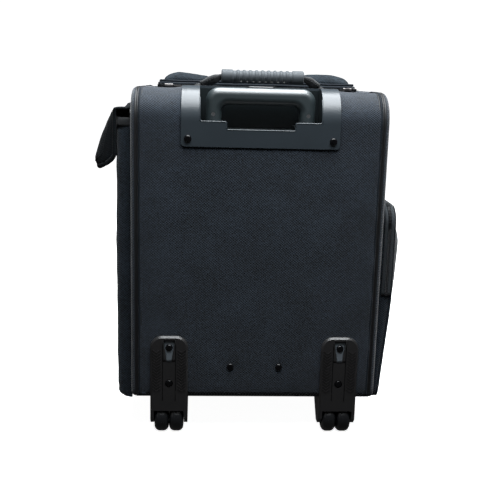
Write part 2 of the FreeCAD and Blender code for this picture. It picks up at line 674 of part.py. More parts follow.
def make_grip():
    """The trolley grip: a rounded arch, hollow for the yoke, split into a back and a front shell."""
    body = new_body("grip_form")
    inside = S.grip_half - S.grip_leg
    arch = [(-S.grip_half, GRIP_FOOT), (-S.grip_half, GRIP_TOP), (S.grip_half, GRIP_TOP),
            (S.grip_half, GRIP_FOOT), (inside, GRIP_FOOT), (inside, BEAM_FOOT), (-inside, BEAM_FOOT),
            (-inside, GRIP_FOOT)]
    rear = TUBE_Y - S.grip_deep / 2
    pad(body, "grip_arch", "XZ", rear, S.grip_deep, lambda sketch: outline(sketch, *arch))
    deep = along("y")
    soften(body, "grip_corners", S.grip_corner, lambda e: deep(e) and near(centre(e).z, GRIP_TOP))
    soften(body, "grip_inner_corners", S.grip_inner_corner,
           lambda e: deep(e) and near(centre(e).z, BEAM_FOOT))
    ends = (float(rear), float(rear + S.grip_deep))
    soften(body, "grip_edges", S.grip_edge, lambda e: e.BoundBox.YLength < NEAR and
           min(abs(centre(e).y - y) for y in ends) < NEAR and not near(centre(e).z, GRIP_FOOT))
    shaft = slab("button_shaft", wide(S.button_half + S.slide_gap),
                 (TUBE_Y - S.button_deep / 2 - S.slide_gap, TUBE_Y + S.button_deep / 2 + S.slide_gap),
                 (YOKE_FOOT, GRIP_TOP + OVER))
    tunnel = slab("yoke_tunnel", wide(S.tube_half + S.rod_radius + S.button_travel),
                  (TUBE_Y - S.yoke_high / 2 - S.slide_gap, TUBE_Y + S.yoke_high / 2 + S.slide_gap),
                  (YOKE_FOOT - S.button_travel - S.slide_gap, YOKE_FOOT + S.yoke_high + S.slide_gap))
    well = rod("spring_well", SPRING_RADIUS + 1, (0, TUBE_Y, SPRING_FOOT), YOKE_FOOT - SPRING_FOOT)
    post = tube_body("grip_post_hole", *INNER_TUBE, GRIP_FOOT - 1, BEAM_FOOT + 1, False)
    shaft_down = rod("rod_hole", S.rod_radius + S.slide_gap, (-S.tube_half, TUBE_Y, BEAM_FOOT),
                     YOKE_FOOT - BEAM_FOOT)
    screw = rod("grip_screw_bore", SCREW_SHANK, (-S.tube_half, rear - 1, SCREW_Z), S.grip_deep + 2, "y")
    head = rod("grip_screw_seat", SCREW_HEAD, (-S.tube_half, rear - 1, SCREW_Z), 2.4, "y")
    hollow = cut("grip_hollow", body, shaft, tunnel, well, pair("grip_post_holes", post),
                 pair("rod_holes", shaft_down), pair("grip_screw_bores", screw),
                 pair("grip_screw_seats", head))
    for side, span in (("back", (rear - 1, TUBE_Y)), ("front", (TUBE_Y, rear + S.grip_deep + 1))):
        half = slab(f"grip_{side}_zone", wide(S.grip_half + 1), span, (GRIP_FOOT - 1, GRIP_TOP + 1))
        keep(common(f"grip_{side}_piece", hollow, half), f"grip_{side}_shell")
    shank = rod("grip_screw_shank", SCREW_SHANK, (-S.tube_half, rear + 1.4, SCREW_Z),
                TUBE_Y - rear - 12, "y")
    disc = rod("grip_screw_disc", SCREW_HEAD, (-S.tube_half, rear + 0.2, SCREW_Z), 1.2, "y")
    keep(pair("grip_screw_pair", fuse("grip_screw", disc, shank)), "grip_screws")


YOKE_FOOT = BEAM_FOOT + 8
SPRING_FOOT = BEAM_FOOT + 1.2
SPRING_RADIUS = 3.2
SPRING_WIRE = 0.45
SPRING_TURNS = 3
SCREW_Z = GRIP_FOOT + 9
SCREW_HEAD = 2.6
SCREW_SHANK = 1.4


def make_release():
    """The release button, the yoke under it with its two push rods, and the return spring, pressed short."""
    top = GRIP_TOP + S.button_proud
    button = slab("button_block", wide(S.button_half),
                  (TUBE_Y - S.button_deep / 2, TUBE_Y + S.button_deep / 2), (YOKE_FOOT + S.yoke_high, top))
    ends = rounded("button_ends", button, S.button_deep / 2 - 0.2, along("z"))
    crown = rounded("button_crown", ends, S.button_proud * 0.8, lambda e: near(e.BoundBox.ZMin, top)
                    and near(e.BoundBox.ZMax, top))
    keep(crown, "release_button")
    yoke = slab("yoke_bar", wide(S.tube_half + S.rod_radius),
                (TUBE_Y - S.yoke_high / 2, TUBE_Y + S.yoke_high / 2), (YOKE_FOOT, YOKE_FOOT + S.yoke_high))
    foot = S.inner_tube_foot + S.lock_plug_high + S.button_travel + 1
    rod_left = rod("push_rod", S.rod_radius, (-S.tube_half, TUBE_Y, foot), YOKE_FOOT - foot + 1)
    keep(fuse("push_rod_set", yoke, rod_left, mirrored("push_rod_mirror", rod_left)), "push_rods")
    height = float(YOKE_FOOT - S.button_travel - SPRING_FOOT) - SPRING_WIRE * 2 - 0.1
    helix = Part.makeHelix(height / SPRING_TURNS, height, SPRING_RADIUS - SPRING_WIRE)
    start = helix.Vertexes[0].Point
    ring = Part.Wire([Part.Circle(start, Y_AXIS, SPRING_WIRE).toShape()])
    coil = Part.Wire(helix.Edges).makePipeShell([ring], True, True)
    spring = from_code("spring_coil", coil)
    move(spring, 0, TUBE_Y, SPRING_FOOT + SPRING_WIRE)
    keep(spring, "button_spring")


# ---- rivets, casters, wheels and feet ----------------------------------------------------------------

def make_rivets():
    """Domed rivets that hold the bezel, the tube bracket and the casters."""
    body = new_body("rivet")

    revolve(body, "rivet_stem", "XY", lambda sketch: outline(
        sketch, (0, 0), (S.rivet_shank, 0), (S.rivet_shank, SHANK_REACH), (0, SHANK_REACH)), "V_Axis")
    revolve(body, "rivet_dome", "XY", lambda sketch: outline(
        sketch, (0, -S.rivet_head), (S.rivet_radius, -S.rivet_head), (S.rivet_radius, 0), (0, 0)), "V_Axis")
    soften(body, "rivet_round", S.rivet_head - 0.2, lambda e: near(centre(e).y, -S.rivet_head)
           and e.BoundBox.YLength < NEAR and near(e.BoundBox.ZMax, S.rivet_radius))
    keep(copies("rivet_copies", body, rivet_places()), "panel_rivets")


def chevron(sketch):
    """One V-shaped rib on the right-hand strip of a caster plate."""
    left, right, top = S.caster_half - 14, S.caster_half - 3, S.caster_rivet_high_z - 2
    middle, dip = (left + right) / 2, S.chevron_pitch
    outline(sketch, (left, top), (middle, top - dip), (right, top), (right, top - S.chevron_rib),
            (middle, top - dip - S.chevron_rib), (left, top - S.chevron_rib))


def make_caster(name, x):
    """A caster housing: a plate on the back panel, and a wheel bay wrapped under the case's edge."""
    body = new_body(name + "_body")
    rear, reach, edge = BACK - S.caster_proud, BACK + S.caster_reach_in, S.caster_half
    pad(body, name + "_plate", "XZ", rear, S.caster_proud, lambda sketch: outline(
        sketch, (-edge, BASE), (edge, BASE), (edge, S.caster_top_z), (-edge, S.caster_top_z)))
    soften(body, name + "_plate_corners", S.caster_corner,
           lambda e: along("y")(e) and near(centre(e).z, S.caster_top_z))
    axle_z = S.wheel_radius
    leg_foot = axle_z - S.leg_radius
    pad(body, name + "_cheeks", "YZ", -edge, edge * 2, lambda sketch: outline(
        sketch, (rear, BASE), (rear, axle_z + 4), (AXLE_Y - S.leg_radius, leg_foot),
        (AXLE_Y + S.leg_radius, leg_foot), (reach, BASE - 12), (reach, BASE)))
    across = along("x")
    soften(body, name + "_leg_ends", S.leg_radius * 0.6, lambda e: across(e) and near(centre(e).z, leg_foot))
    soften(body, name + "_rim", S.caster_proud * 0.4,
           lambda e: e.BoundBox.YLength < NEAR and near(centre(e).y, rear) and centre(e).z > float(BASE),
           "Chamfer")
    bay = S.bay_half * 2
    pocket(body, name + "_bay", "YZ", -S.bay_half, bay,
           lambda sketch: circle(sketch, AXLE_Y, axle_z, S.bay_radius))
    pocket(body, name + "_mouth", "YZ", -S.bay_half, bay, lambda sketch: outline(
        sketch, (rear - 1, -1), (AXLE_Y + S.bay_radius, -1), (AXLE_Y + S.bay_radius, axle_z),
        (AXLE_Y, S.caster_lip_z), (rear - 1, S.caster_lip_z)))
    pocket(body, name + "_axle_bore", "YZ", -edge - 1, edge * 2 + 2,
           lambda sketch: circle(sketch, AXLE_Y, axle_z, S.axle_radius))
    ramp_top, ramp_foot, groove = S.caster_top_z - 5, S.caster_rivet_high_z - 20, 1.2
    pocket(body, name + "_ramp", "YZ", -RAMP_HALF, RAMP_HALF * 2, lambda sketch: outline(
        sketch, (rear - 1, ramp_foot), (rear, ramp_foot), (rear + CASTER_DISH + 0.6, ramp_top),
        (rear - 1, ramp_top)))
    for side, start in (("left", -RAMP_HALF - groove), ("right", RAMP_HALF)):
        pocket(body, f"{name}_{side}_groove", "YZ", start, groove, lambda sketch: outline(
            sketch, (rear - 1, BASE + 8), (rear + groove, BASE + 12), (rear + groove, ramp_top),
            (rear - 1, ramp_top)))
    pocket(body, name + "_seats", "XZ", rear - 1, CASTER_DISH + 1, lambda sketch: [
        circle(sketch, 0, z, S.rivet_radius + 0.6) for z in (S.caster_rivet_high_z, S.caster_rivet_low_z)])
    pocket(body, name + "_rivet_bores", "XZ", rear - 1, S.caster_proud + 2, lambda sketch: [
        circle(sketch, 0, z, S.rivet_shank) for z in (S.caster_rivet_high_z, S.caster_rivet_low_z)])
    rib = pad(body, name + "_chevron", "XZ", rear - S.chevron_proud, S.chevron_proud, chevron)
    doc.recompute()
    mirror = body.newObject("PartDesign::MultiTransform", name + "_chevrons")
    mirror.Originals = [rib]
    row = body.newObject("PartDesign::LinearPattern", name + "_chevron_row")
    row.Direction = ([f for f in body.Origin.OriginFeatures if f.Role == "Z_Axis"][0], [""])
    row.Reversed, row.Occurrences = True, CHEVRONS
    bind(row, Length=S.chevron_pitch * (CHEVRONS - 1))
    twin = body.newObject("PartDesign::Mirrored", name + "_chevron_twin")
    twin.MirrorPlane = ([f for f in body.Origin.OriginFeatures if f.Role == "YZ_Plane"][0], [""])
    mirror.Transformations = [row, twin]
    body.Tip = mirror
    keep(move(body, x), name)


RAMP_HALF = 8.2  # half width of the sunken ramp round the upper caster rivet
CHEVRONS = 14  # chevron ribs on each strip of a caster plate


def make_wheels():
    """Twin wheels on one axle at each caster, each wheel free to turn on its own."""
    offset = (S.wheel_wide + S.wheel_gap) / 2
    for side, sign in (("left", -1), ("right", 1)):
        for place, step in (("outer", sign), ("inner", -sign)):
            name = f"wheel_{side}_{place}"
            body = new_body(name + "_body")
            half, hub, bore = S.wheel_wide / 2, S.wheel_radius * 0.62, S.axle_radius + S.wheel_play
            revolve(body, name + "_turned", "XY", lambda sketch: outline(
                sketch, (-half, bore), (-half, bore + 4), (-half + 2.2, bore + 4), (-half + 2.2, hub),
                (-half, hub), (-half, S.wheel_radius), (half, S.wheel_radius), (half, hub),
                (half - 2.2, hub),
                (half - 2.2, bore + 4), (half, bore + 4), (half, bore)))
            rim = float(S.wheel_radius)
            soften(body, name + "_shoulders", S.wheel_shoulder,
                   lambda e: e.BoundBox.XLength < NEAR and abs(e.BoundBox.ZMax - rim) < NEAR)
            keep(move(body, S.caster_x * sign + offset * step, AXLE_Y, S.wheel_radius), name)
    pins = [rod(f"axle_{i}", S.axle_radius, (x - S.caster_half, AXLE_Y, S.wheel_radius),
                S.caster_half * 2, "x") for i, x in enumerate(wide(S.caster_x))]
    keep(group("axle_pins", *pins), "wheel_axles")


def make_feet():
    """Two moulded feet under the front edge, each held by a screw from inside the case."""
    shapes, screws = [], []
    for number, x in enumerate(wide(S.foot_x)):
        name = f"foot_{number}"
        body = new_body(name)
        rear = BACK + S.foot_in
        half = S.foot_wide / 2
        pad(body, name + "_block", "YZ", x - half, half * 2, lambda sketch: outline(
            sketch, (rear, BASE), (rear + 5, 0), (rear + S.foot_deep - 5, 0), (rear + S.foot_deep, BASE)))
        soften(body, name + "_corners", 5, lambda e: e.BoundBox.XLength < NEAR and e.BoundBox.ZLength > 10)
        soften(body, name + "_sole", 1.2, lambda e: near(e.BoundBox.ZMax, 0))
        middle = rear + S.foot_deep / 2
        bore = rod(name + "_bore", 2.5, (x, middle, BASE - 30), 40)
        shapes.append(cut(name + "_open", body, bore))
        shank = rod(name + "_shank", 2.5, (x, middle, BASE - 30), LINING + 30)
        head = rod(name + "_head", 5, (x, middle, BASE + LINING), 2.5)
        screws.append(fuse(name + "_screw", shank, head))
    keep(group("foot_pair", *shapes), "front_feet")
    keep(group("foot_screw_pair", *screws), "foot_screws")


def open_base_for_screws():
    """Bores the base cover and the base board for the foot screws."""
    for number, part in enumerate([p for p in sub_parts if p.Label in ("base_cover", "base_board")]):
        label = part.Label
        part.Label = label + "_whole"
        sub_parts.remove(part)
        bore = rod(f"base_bore_{number}", 2.5, (-S.foot_x, BACK + S.foot_in + S.foot_deep / 2, BASE - 5), 20)
        keep(cut(label + "_bored", part, pair(f"base_bores_{number}", bore)), label)


# ---- pockets -----------------------------------------------------------------------------------------

def make_left_pocket():
    """An open-topped pocket on the left side."""
    face = -HALF - S.left_pocket_deep
    wall = S.pocket_wall
    span = (BACK + S.pocket_rear_in, BACK + S.pocket_front_in)
    block = slab("left_pocket_block", (face, -HALF), span, (S.pocket_foot_z, S.left_pocket_top_z))
    outside = rounded("left_pocket_form", block, 8, lambda e: (near(centre(e).x, face)
                      and (along("z")(e) or (along("y")(e) and centre(e).z < float(BASE)))))
    room = slab("left_pocket_room", (face + wall, -HALF), (span[0] + wall, span[1] - wall),
                (S.pocket_foot_z + wall, S.left_pocket_top_z + OVER))
    inside = rounded("left_pocket_inside", room, 8 - float(wall), lambda e: (near(centre(e).x, face + wall)
                     and (along("z")(e) or (along("y")(e) and centre(e).z < float(BASE) + 10))))
    keep(cut("left_pocket_shell", outside, inside), "left_pocket")


def make_flap():
    """The pocket's flap, sewn to the side over the pocket's mouth, hanging out and down."""
    doc.recompute()
    side, z, y = -float(HALF), float(S.flap_hinge_z), float(BACK + S.pocket_rear_in) + 2
    root, crown, knee = Vector(side - 1.2, y, z), Vector(side - 15, y, z - 1), Vector(side - 26, y, z - 12)
    belly, hem = Vector(side - 37, y, z - 45), Vector(side - 35, y, z - 80)
    spine = Part.Wire([Part.Arc(root, crown, knee).toShape(), Part.Arc(knee, belly, hem).toShape()])
    sheet = spine.makeOffset2D(-float(S.flap_thick), 0, True, True, False)
    wide_y = float(S.pocket_front_in - S.pocket_rear_in) - 4
    sheet_solid = sheet.extrude(Vector(0, wide_y, 0))
    blank = slab("flap_blank", (-HALF - S.right_top_deep, -HALF + OVER),
                 (BACK + S.pocket_rear_in + 2, BACK + S.pocket_front_in - 2),
                 (S.flap_hinge_z - FLAP_DROP, TOP))
    plan = rounded("flap_plan", blank, S.flap_corner, lambda e: along("x")(e)
                   and near(centre(e).z, S.flap_hinge_z - FLAP_DROP))
    keep(common("flap_piece", from_code("flap_sheet", sheet_solid), plan), "left_flap")


FLAP_DROP = 79  # how far the flap hangs below its seam


def right_form(name, inset):
    """The right pocket's block, drawn in by inset: fuller above than at its foot, and bellied outward."""
    rear, front = BACK + S.pocket_rear_in + inset, BACK + S.pocket_front_in - inset
    foot, top, proud = S.pocket_foot_z + inset, S.right_top_z - inset, HALF + S.right_top_deep - inset
    side = new_body(name + "_side")
    pad(side, name + "_side_block", "XZ", rear, front - rear, lambda sketch: outline(
        sketch, (HALF, foot), (HALF + S.right_foot_deep - inset, foot), (proud, S.right_bulge_z),
        (HALF + S.right_gusset, top), (HALF, top)))
    plan = new_body(name + "_plan")
    gusset, belly = HALF + S.right_gusset - inset, S.right_belly
    pad(plan, name + "_plan_block", "XY", foot - 1, top - foot + 2, lambda sketch: outline(
        sketch, (HALF, rear), (gusset, rear), (proud, rear + belly), (proud, front - belly), (gusset, front),
        (HALF, front)))
    far = float(HALF) + 5
    shape = common(name + "_blank", side, plan)
    return rounded(name, shape, S.right_edge - inset, lambda e: along("y")(e) and centre(e).x > far
                   and centre(e).z > float(BASE) + 50)


def make_right_pocket():
    """The zipped pocket on the right side: a hollow shell, with a zip band let into its gusset."""
    shell = cut("right_pocket_shell", right_form("right_outside", 0),
                right_form("right_inside", S.pocket_wall))
    x = S.right_zip_x
    band = slab("right_zip_zone", (x - S.zip_wide / 2, x + S.zip_wide / 2), (BACK, FRONT),
                (S.right_zip_foot_z, S.right_top_z + OVER))
    keep(cut("right_pocket_open", shell, band), "right_pocket")
    keep(common("right_zip_band", shell, band), "right_pocket_zip")


def front_form(name, inset):
    """The front pocket's block, drawn in by inset."""
    body = new_body(name)
    side, foot, top = S.front_half - inset, S.front_foot_z + inset, S.front_top_z - inset
    pad(body, name + "_block", "XZ", FRONT, S.front_deep - inset, lambda sketch: outline(
        sketch, (-side, foot), (side, foot), (side, top), (-side, top)))
    face = FRONT + S.front_deep - inset
    soften(body, name + "_corners", S.front_corner - inset, along("y"))
    soften(body, name + "_edges", S.front_edge - inset, lambda e: e.BoundBox.YLength < NEAR
           and near(centre(e).y, face))
    return body


def make_front_pocket():
    """The zipped pocket on the front: a hollow shell, with a zip band over its top and down its sides."""
    shell = cut("front_pocket_shell", front_form("front_outside", 0),
                front_form("front_inside", S.pocket_wall))
    y = FRONT + FRONT_ZIP_IN
    band = slab("front_zip_zone", wide(S.front_half + OVER), (y - S.zip_wide / 2, y + S.zip_wide / 2),
                (S.front_zip_foot_z, S.front_top_z + OVER))
    keep(cut("front_pocket_open", shell, band), "front_pocket")
    keep(common("front_zip_band", shell, band), "front_pocket_zip")


FRONT_ZIP_IN = 13  # middle of the front pocket's zip band, forward of the front panel


# ---- lid, carry handle and zip sliders ---------------------------------------------------------------

def tape(name, z):
    """A zip tape on three sides of the mouth, open at the front where the lid is hinged."""
    edge, rear, front = S.lid_half + 4, BACK + S.lid_rear_in - 4, BACK + S.mouth_front_in
    ring = slab(name + "_outside", wide(edge), (rear, front), (z, z + S.zip_tape_thick))
    hole = slab(name + "_inside", wide(edge - S.zip_tape_wide), (rear + S.zip_tape_wide, front + 1),
                (z - 1, z + S.zip_tape_thick + 1))
    return cut(name, rounded(name + "_round", ring, S.lid_corner, lambda e: along("z")(e)
                             and near(centre(e).y, rear)), hole)


def make_lid(outer):
    """The lid: a board with a padded cover on it, its half of the zip, and the cloth hinge at its front."""
    keep(tape("mouth_tape", TOP), "mouth_zip")
    keep(tape("lid_tape", TOP + S.zip_tape_thick + S.tube_gap), "lid_zip")
    span = (BACK + S.lid_rear_in, BACK + S.lid_front_in)
    under = TOP + S.zip_tape_thick * 2 + S.tube_gap
    board = slab("lid_board_slab", wide(S.lid_half), span, (under, under + S.board_thick))
    plan = rounded("lid_board_plan", board, S.lid_corner, along("z"))
    keep(plan, "lid_board")
    pad_foot = under + S.board_thick
    padding = slab("lid_pad_block", wide(S.lid_half), span, (pad_foot, pad_foot + S.lid_pad_thick))
    shaped = rounded("lid_pad_plan", padding, S.lid_corner, along("z"))
    crown = pad_foot + S.lid_pad_thick
    keep(rounded("lid_pad", shaped, S.lid_edge, lambda e: near(e.BoundBox.ZMin, crown)), "lid_cover")
    skin = cut("hinge_skin", case_form("hinge_form", -HINGE_CLOTH, False), outer)
    strip = slab("hinge_strip", wide(S.lid_half - S.lid_corner), (BACK + S.lid_front_in + 0.6, FRONT - 3),
                 (TOP - S.front_radius, TOP + OVER))
    keep(common("hinge_cloth", skin, strip), "lid_hinge_tape")


HINGE_CLOTH = 0.8  # cloth of the lid's hinge


def bar(start, end, radius):
    """A round bar between two points with a ball at its far end."""
    run = end - start
    return Part.makeCylinder(radius, run.Length, start, run).fuse(Part.makeSphere(radius, end))


def make_handle():
    """The padded carry handle: rolled webbing, a ribbed rubber grip on it, and its anchors on the case."""
    doc.recompute()
    axis, lift = BACK + S.handle_in, TOP + S.handle_axis_lift
    core_z = lift + S.handle_rise
    left_end = S.handle_shift - S.handle_grip_half
    core = rod("strap_core", S.strap_radius, (left_end, axis, core_z), S.handle_grip_half * 2, "x")
    ends = []
    for sign in (-1, 1):
        knee = Vector(float(S.handle_shift) + sign * float(S.handle_grip_half), float(axis), float(core_z))
        foot = Vector(sign * float(S.handle_half), float(axis), float(lift))
        radius = float(S.strap_radius)
        ends.append(Part.makeSphere(radius, knee).fuse(bar(knee, foot, radius)))
    strap = fuse("strap_bar", core, from_code("strap_left", ends[0]), from_code("strap_right", ends[1]))
    keep(strap, "handle_strap")
    sleeve = rod("grip_sleeve", S.handle_grip_radius, (left_end, axis, core_z), S.handle_grip_half * 2, "x")
    width = S.handle_rib_pitch * 0.55
    right_collar = S.handle_shift + S.handle_grip_half - S.handle_rib_pitch
    rings = [(left_end, S.handle_rib_pitch), (right_collar, S.handle_rib_pitch)]
    for number in range(HANDLE_RIBS):
        middle = S.handle_shift + S.handle_rib_pitch * (number - (HANDLE_RIBS - 1) / 2)
        rings.append((middle - width / 2, width))
    ribs = [rod(f"grip_rib_{i}", S.handle_rib_radius, (x, axis, core_z), long, "x")
            for i, (x, long) in enumerate(rings)]
    keep(cut("grip_bored", fuse("grip_ribbed", sleeve, *ribs), strap), "handle_grip")
    middle = S.handle_half + 4
    anchor = slab("anchor_patch", (middle - S.anchor_long / 2, middle + S.anchor_long / 2),
                  (BACK + S.handle_in - S.anchor_deep / 2, BACK + S.handle_in + S.anchor_deep / 2),
                  (TOP, TOP + S.anchor_thick))
    under = rod("anchor_relief", S.strap_radius + 0.6,
                (middle - S.anchor_long / 2 - 1, BACK + S.handle_in, TOP + S.handle_axis_lift),
                S.anchor_long / 2 + 3, "x")
    keep(pair("anchor_pair", cut("anchor", anchor, under)), "handle_anchors")


HANDLE_RIBS = 9  # ribs on the rubber grip, between its two end collars


def make_slider(name, x, y, z, run):
    """A zip slider: a small block, long along the zip, resting with its underside at z."""
    half_x, half_y = S.slider_long / 2, S.slider_wide / 2
    if run != "x":
        half_x, half_y = half_y, half_x
    block = slab(name + "_block", (x - half_x, x + half_x), (y - half_y, y + half_y), (z, z + S.slider_high))
    keep(rounded(name + "_round", block, 1, along(run)), name)


def make_pull(name, x, y, z, corner):
    """A flat zip pull that spans x and y, with its underside at z."""
    tab = slab(name + "_tab", x, y, (z, z + S.pull_thick))
    keep(rounded(name + "_round", tab, corner, along("z")), name)


def make_sliders():
    """The sliders of the lid's zip and of the two pocket zips, each with a flat metal pull beside it."""
    gap, half = S.tube_gap, S.slider_long / 2 + S.tube_gap
    lid_y = BACK + S.lid_rear_in - 4 - gap - S.slider_wide / 2
    make_slider("lid_slider_left", -S.lid_slider_x, lid_y, TOP + gap, "x")
    make_slider("lid_slider_right", S.lid_slider_x, lid_y, TOP + gap, "x")
    start = half + gap - S.lid_slider_x
    make_pull("lid_pull_left", (start, start + S.pull_long),
              (lid_y - S.pull_wide / 2, lid_y + S.pull_wide / 2), TOP + 1, 2)
    disc_end = lid_y - S.slider_wide / 2 - gap
    make_pull("lid_pull_right", (S.lid_slider_x - S.disc_pull / 2, S.lid_slider_x + S.disc_pull / 2),
              (disc_end - S.disc_pull, disc_end), TOP + S.anchor_thick + 0.7, S.disc_pull / 2 - 0.1)
    side_y, side_z = BACK + S.pocket_front_in - 60, S.right_top_z + gap
    make_slider("side_slider", S.right_zip_x, side_y, side_z, "y")
    make_pull("side_pull", (S.right_zip_x - S.pull_wide / 2, S.right_zip_x + S.pull_wide / 2),
              (side_y - half - gap - S.pull_long, side_y - half - gap), side_z + 1, 2)
    front_x, front_z, front_y = S.front_half - 60, S.front_top_z + gap, FRONT + FRONT_ZIP_IN
    make_slider("front_slider", front_x, front_y, front_z, "x")
    make_pull("front_pull", (front_x - half - gap - S.pull_long, front_x - half - gap),
              (front_y - S.pull_wide / 2, front_y + S.pull_wide / 2), front_z + 1, 2)


# ---- build, check and write --------------------------------------------------------------------------

def check():
    """Stops the script if any object failed or any sub-part's shape isn't a set of valid solids."""
    doc.recompute()
    failed = [o.Name for o in doc.Objects if {"Invalid", "Error"} & set(o.State)]
    if failed:
        raise RuntimeError(f"these objects failed: {failed}")
    for part in sub_parts:
        shape = part.Shape
        if shape.isNull() or not shape.isValid() or not shape.Solids:
            raise RuntimeError(f"{part.Label} is not a valid solid")


def write():
    """Writes each sub-part to parts/LABEL.step."""
    os.makedirs("parts", exist_ok=True)
    for part in sub_parts:
        part.Shape.exportStep(f"parts/{part.Label}.step")
    print(f"wrote {len(sub_parts)} sub-parts")


def main():
    outer, hole, bores = make_panels()
    make_piping(outer)
    make_bezel(outer, bores)
    make_cup(outer, hole)
    make_tubes()
    make_bracket(bores)
    make_grip()
    make_release()
    make_rivets()
    make_caster("caster_left", -S.caster_x)
    make_caster("caster_right", S.caster_x)
    make_wheels()
    make_feet()
    open_base_for_screws()
    make_left_pocket()
    make_flap()
    make_right_pocket()
    make_front_pocket()
    make_lid(outer)
    make_handle()
    make_sliders()
    check()
    write()


main()
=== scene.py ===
"""Looks of a rolling flight case: fabric, piping, zips, pockets, handle and finishes round the CAD frame."""

import math

import bpy
import numpy as np
from mathutils import Matrix, Vector, noise

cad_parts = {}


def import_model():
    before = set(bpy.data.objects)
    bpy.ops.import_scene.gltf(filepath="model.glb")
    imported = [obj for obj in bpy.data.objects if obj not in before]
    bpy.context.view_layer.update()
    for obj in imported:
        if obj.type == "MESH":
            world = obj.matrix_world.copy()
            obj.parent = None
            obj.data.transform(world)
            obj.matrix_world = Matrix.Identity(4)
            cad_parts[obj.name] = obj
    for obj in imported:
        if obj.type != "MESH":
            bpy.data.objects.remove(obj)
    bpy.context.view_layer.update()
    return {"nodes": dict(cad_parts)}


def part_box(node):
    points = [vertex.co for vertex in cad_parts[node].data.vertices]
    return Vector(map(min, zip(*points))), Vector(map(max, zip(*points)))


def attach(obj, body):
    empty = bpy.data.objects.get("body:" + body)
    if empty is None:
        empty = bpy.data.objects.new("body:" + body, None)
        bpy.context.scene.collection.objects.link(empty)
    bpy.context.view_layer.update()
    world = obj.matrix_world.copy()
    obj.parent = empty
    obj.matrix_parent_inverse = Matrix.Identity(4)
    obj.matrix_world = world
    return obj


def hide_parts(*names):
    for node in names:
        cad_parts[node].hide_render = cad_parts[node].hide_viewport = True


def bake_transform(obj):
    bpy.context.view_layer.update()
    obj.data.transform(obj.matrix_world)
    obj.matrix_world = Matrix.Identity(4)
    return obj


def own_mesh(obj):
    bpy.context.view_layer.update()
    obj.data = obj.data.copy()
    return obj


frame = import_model()

# ---- the case's own sizes, in metres, in the frame that the CAD model uses ----------------------------

BACK, FRONT = -0.126, 0.100  # the case's back and front panels
BASE, TOP = 0.052, 0.467
SEAM, SIDE = 0.160, 0.167  # the piped seams, and the side panels
ROLL, BROW, KEEL = 0.040, 0.014, 0.007  # radii of the case's outline, seen from the side
PANEL_FOOT = 0.059  # where the base panel gives way to the back and front panels
MOUTH_X, MOUTH_REAR, MOUTH_FRONT = 0.131, -0.046, 0.080
HINGE_Y = 0.0886  # the lid's hinge
STEP = 0.004  # between points along panels, cords and zips
CLOTH, THIN_CLOTH = 0.0016, 0.0014
ZIP_PITCH = 0.0021  # between the teeth of one row
SEWN_IN = 0.0004  # how far a pocket's edges sit inside the panel behind them


# ---- points and paths -----------------------------------------------------------------------------------

def unit(vectors):
    """The same vectors, each one metre long."""
    return vectors / np.maximum(np.linalg.norm(vectors, axis=-1, keepdims=True), 1e-12)


def filleted(corners, closed=False):
    """A 2-D path through corners, each given as two coordinates and a radius."""
    count, path = len(corners), []
    for i, (a, b, radius) in enumerate(corners):
        here = np.array((a, b), float)
        if radius <= 0 or (not closed and i in (0, count - 1)):
            path.append(here)
            continue
        before = unit(np.array(corners[i - 1][:2], float) - here)
        after = unit(np.array(corners[(i + 1) % count][:2], float) - here)
        half = math.acos(float(np.clip(before @ after, -1, 1))) / 2
        centre = here + unit(before + after) * radius / math.sin(half)
        start = here + before * radius / math.tan(half) - centre
        end = here + after * radius / math.tan(half) - centre
        first = math.atan2(start[1], start[0])
        turn = (math.atan2(end[1], end[0]) - first + math.pi) % (2 * math.pi) - math.pi
        for angle in np.linspace(first, first + turn, 10):
            path.append(centre + radius * np.array((math.cos(angle), math.sin(angle))))
    return np.array(path)


def run_along(path):
    """How far along a path each of its points is."""
    return np.concatenate([[0], np.cumsum(np.linalg.norm(np.diff(path, axis=0), axis=1))])


def even(path, step, closed=False):
    """The same path with points evenly spaced, about step apart."""
    path = np.asarray(path, float)
    if closed:
        path = np.vstack([path, path[:1]])
    along = run_along(path)
    count = max(2, int(round(along[-1] / step)) + 1)
    at = np.linspace(0, along[-1], count)
    made = np.stack([np.interp(at, along, path[:, k]) for k in range(path.shape[1])], axis=1)
    return made[:-1] if closed else made


def curved(points, step):
    """A smooth path through points, evenly spaced."""
    points = np.asarray(points, float)
    padded = np.vstack([2 * points[0] - points[1], points, 2 * points[-1] - points[-2]])
    made = []
    for i in range(1, len(padded) - 2):
        p0, p1, p2, p3 = padded[i - 1:i + 3]
        for t in np.linspace(0, 1, 12, endpoint=False):
            made.append(0.5 * (2 * p1 + (p2 - p0) * t + (2 * p0 - 5 * p1 + 4 * p2 - p3) * t * t
                               + (3 * p1 - p0 - 3 * p2 + p3) * t ** 3))
    made.append(points[-1])
    return even(made, step)


def in_plane(path, x):
    """A side-view path of y and z, as points in space at that x."""
    return np.column_stack([np.full(len(path), x), path])


def rectangle(left, right, low, high):
    """The centre and the half sizes of a rectangle."""
    return ((left + right) / 2, (low + high) / 2), ((right - left) / 2, (high - low) / 2)


def rounded_loop(left, right, low, high, radii):
    """A closed path round a rectangle, with a radius for each corner from left and low."""
    corners = ((left, low), (right, low), (right, high), (left, high))
    loop = filleted([(*corner, radius) for corner, radius in zip(corners, radii)], closed=True)
    return even(loop, STEP, closed=True)


def arch(left, right, foot, top, radius):
    """A path up from foot at the left, over the top and down to foot at the right."""
    return even(filleted([(left, foot, 0), (left, top, radius), (right, top, radius), (right, foot, 0)]),
                STEP)


def facing(path):
    """Outward directions of a side-view path that runs up the back, over the top and down the front."""
    step = np.gradient(path, axis=0)
    out = unit(np.column_stack([-step[:, 1], step[:, 0]]))
    return unit(np.column_stack([np.zeros(len(path)), out]))


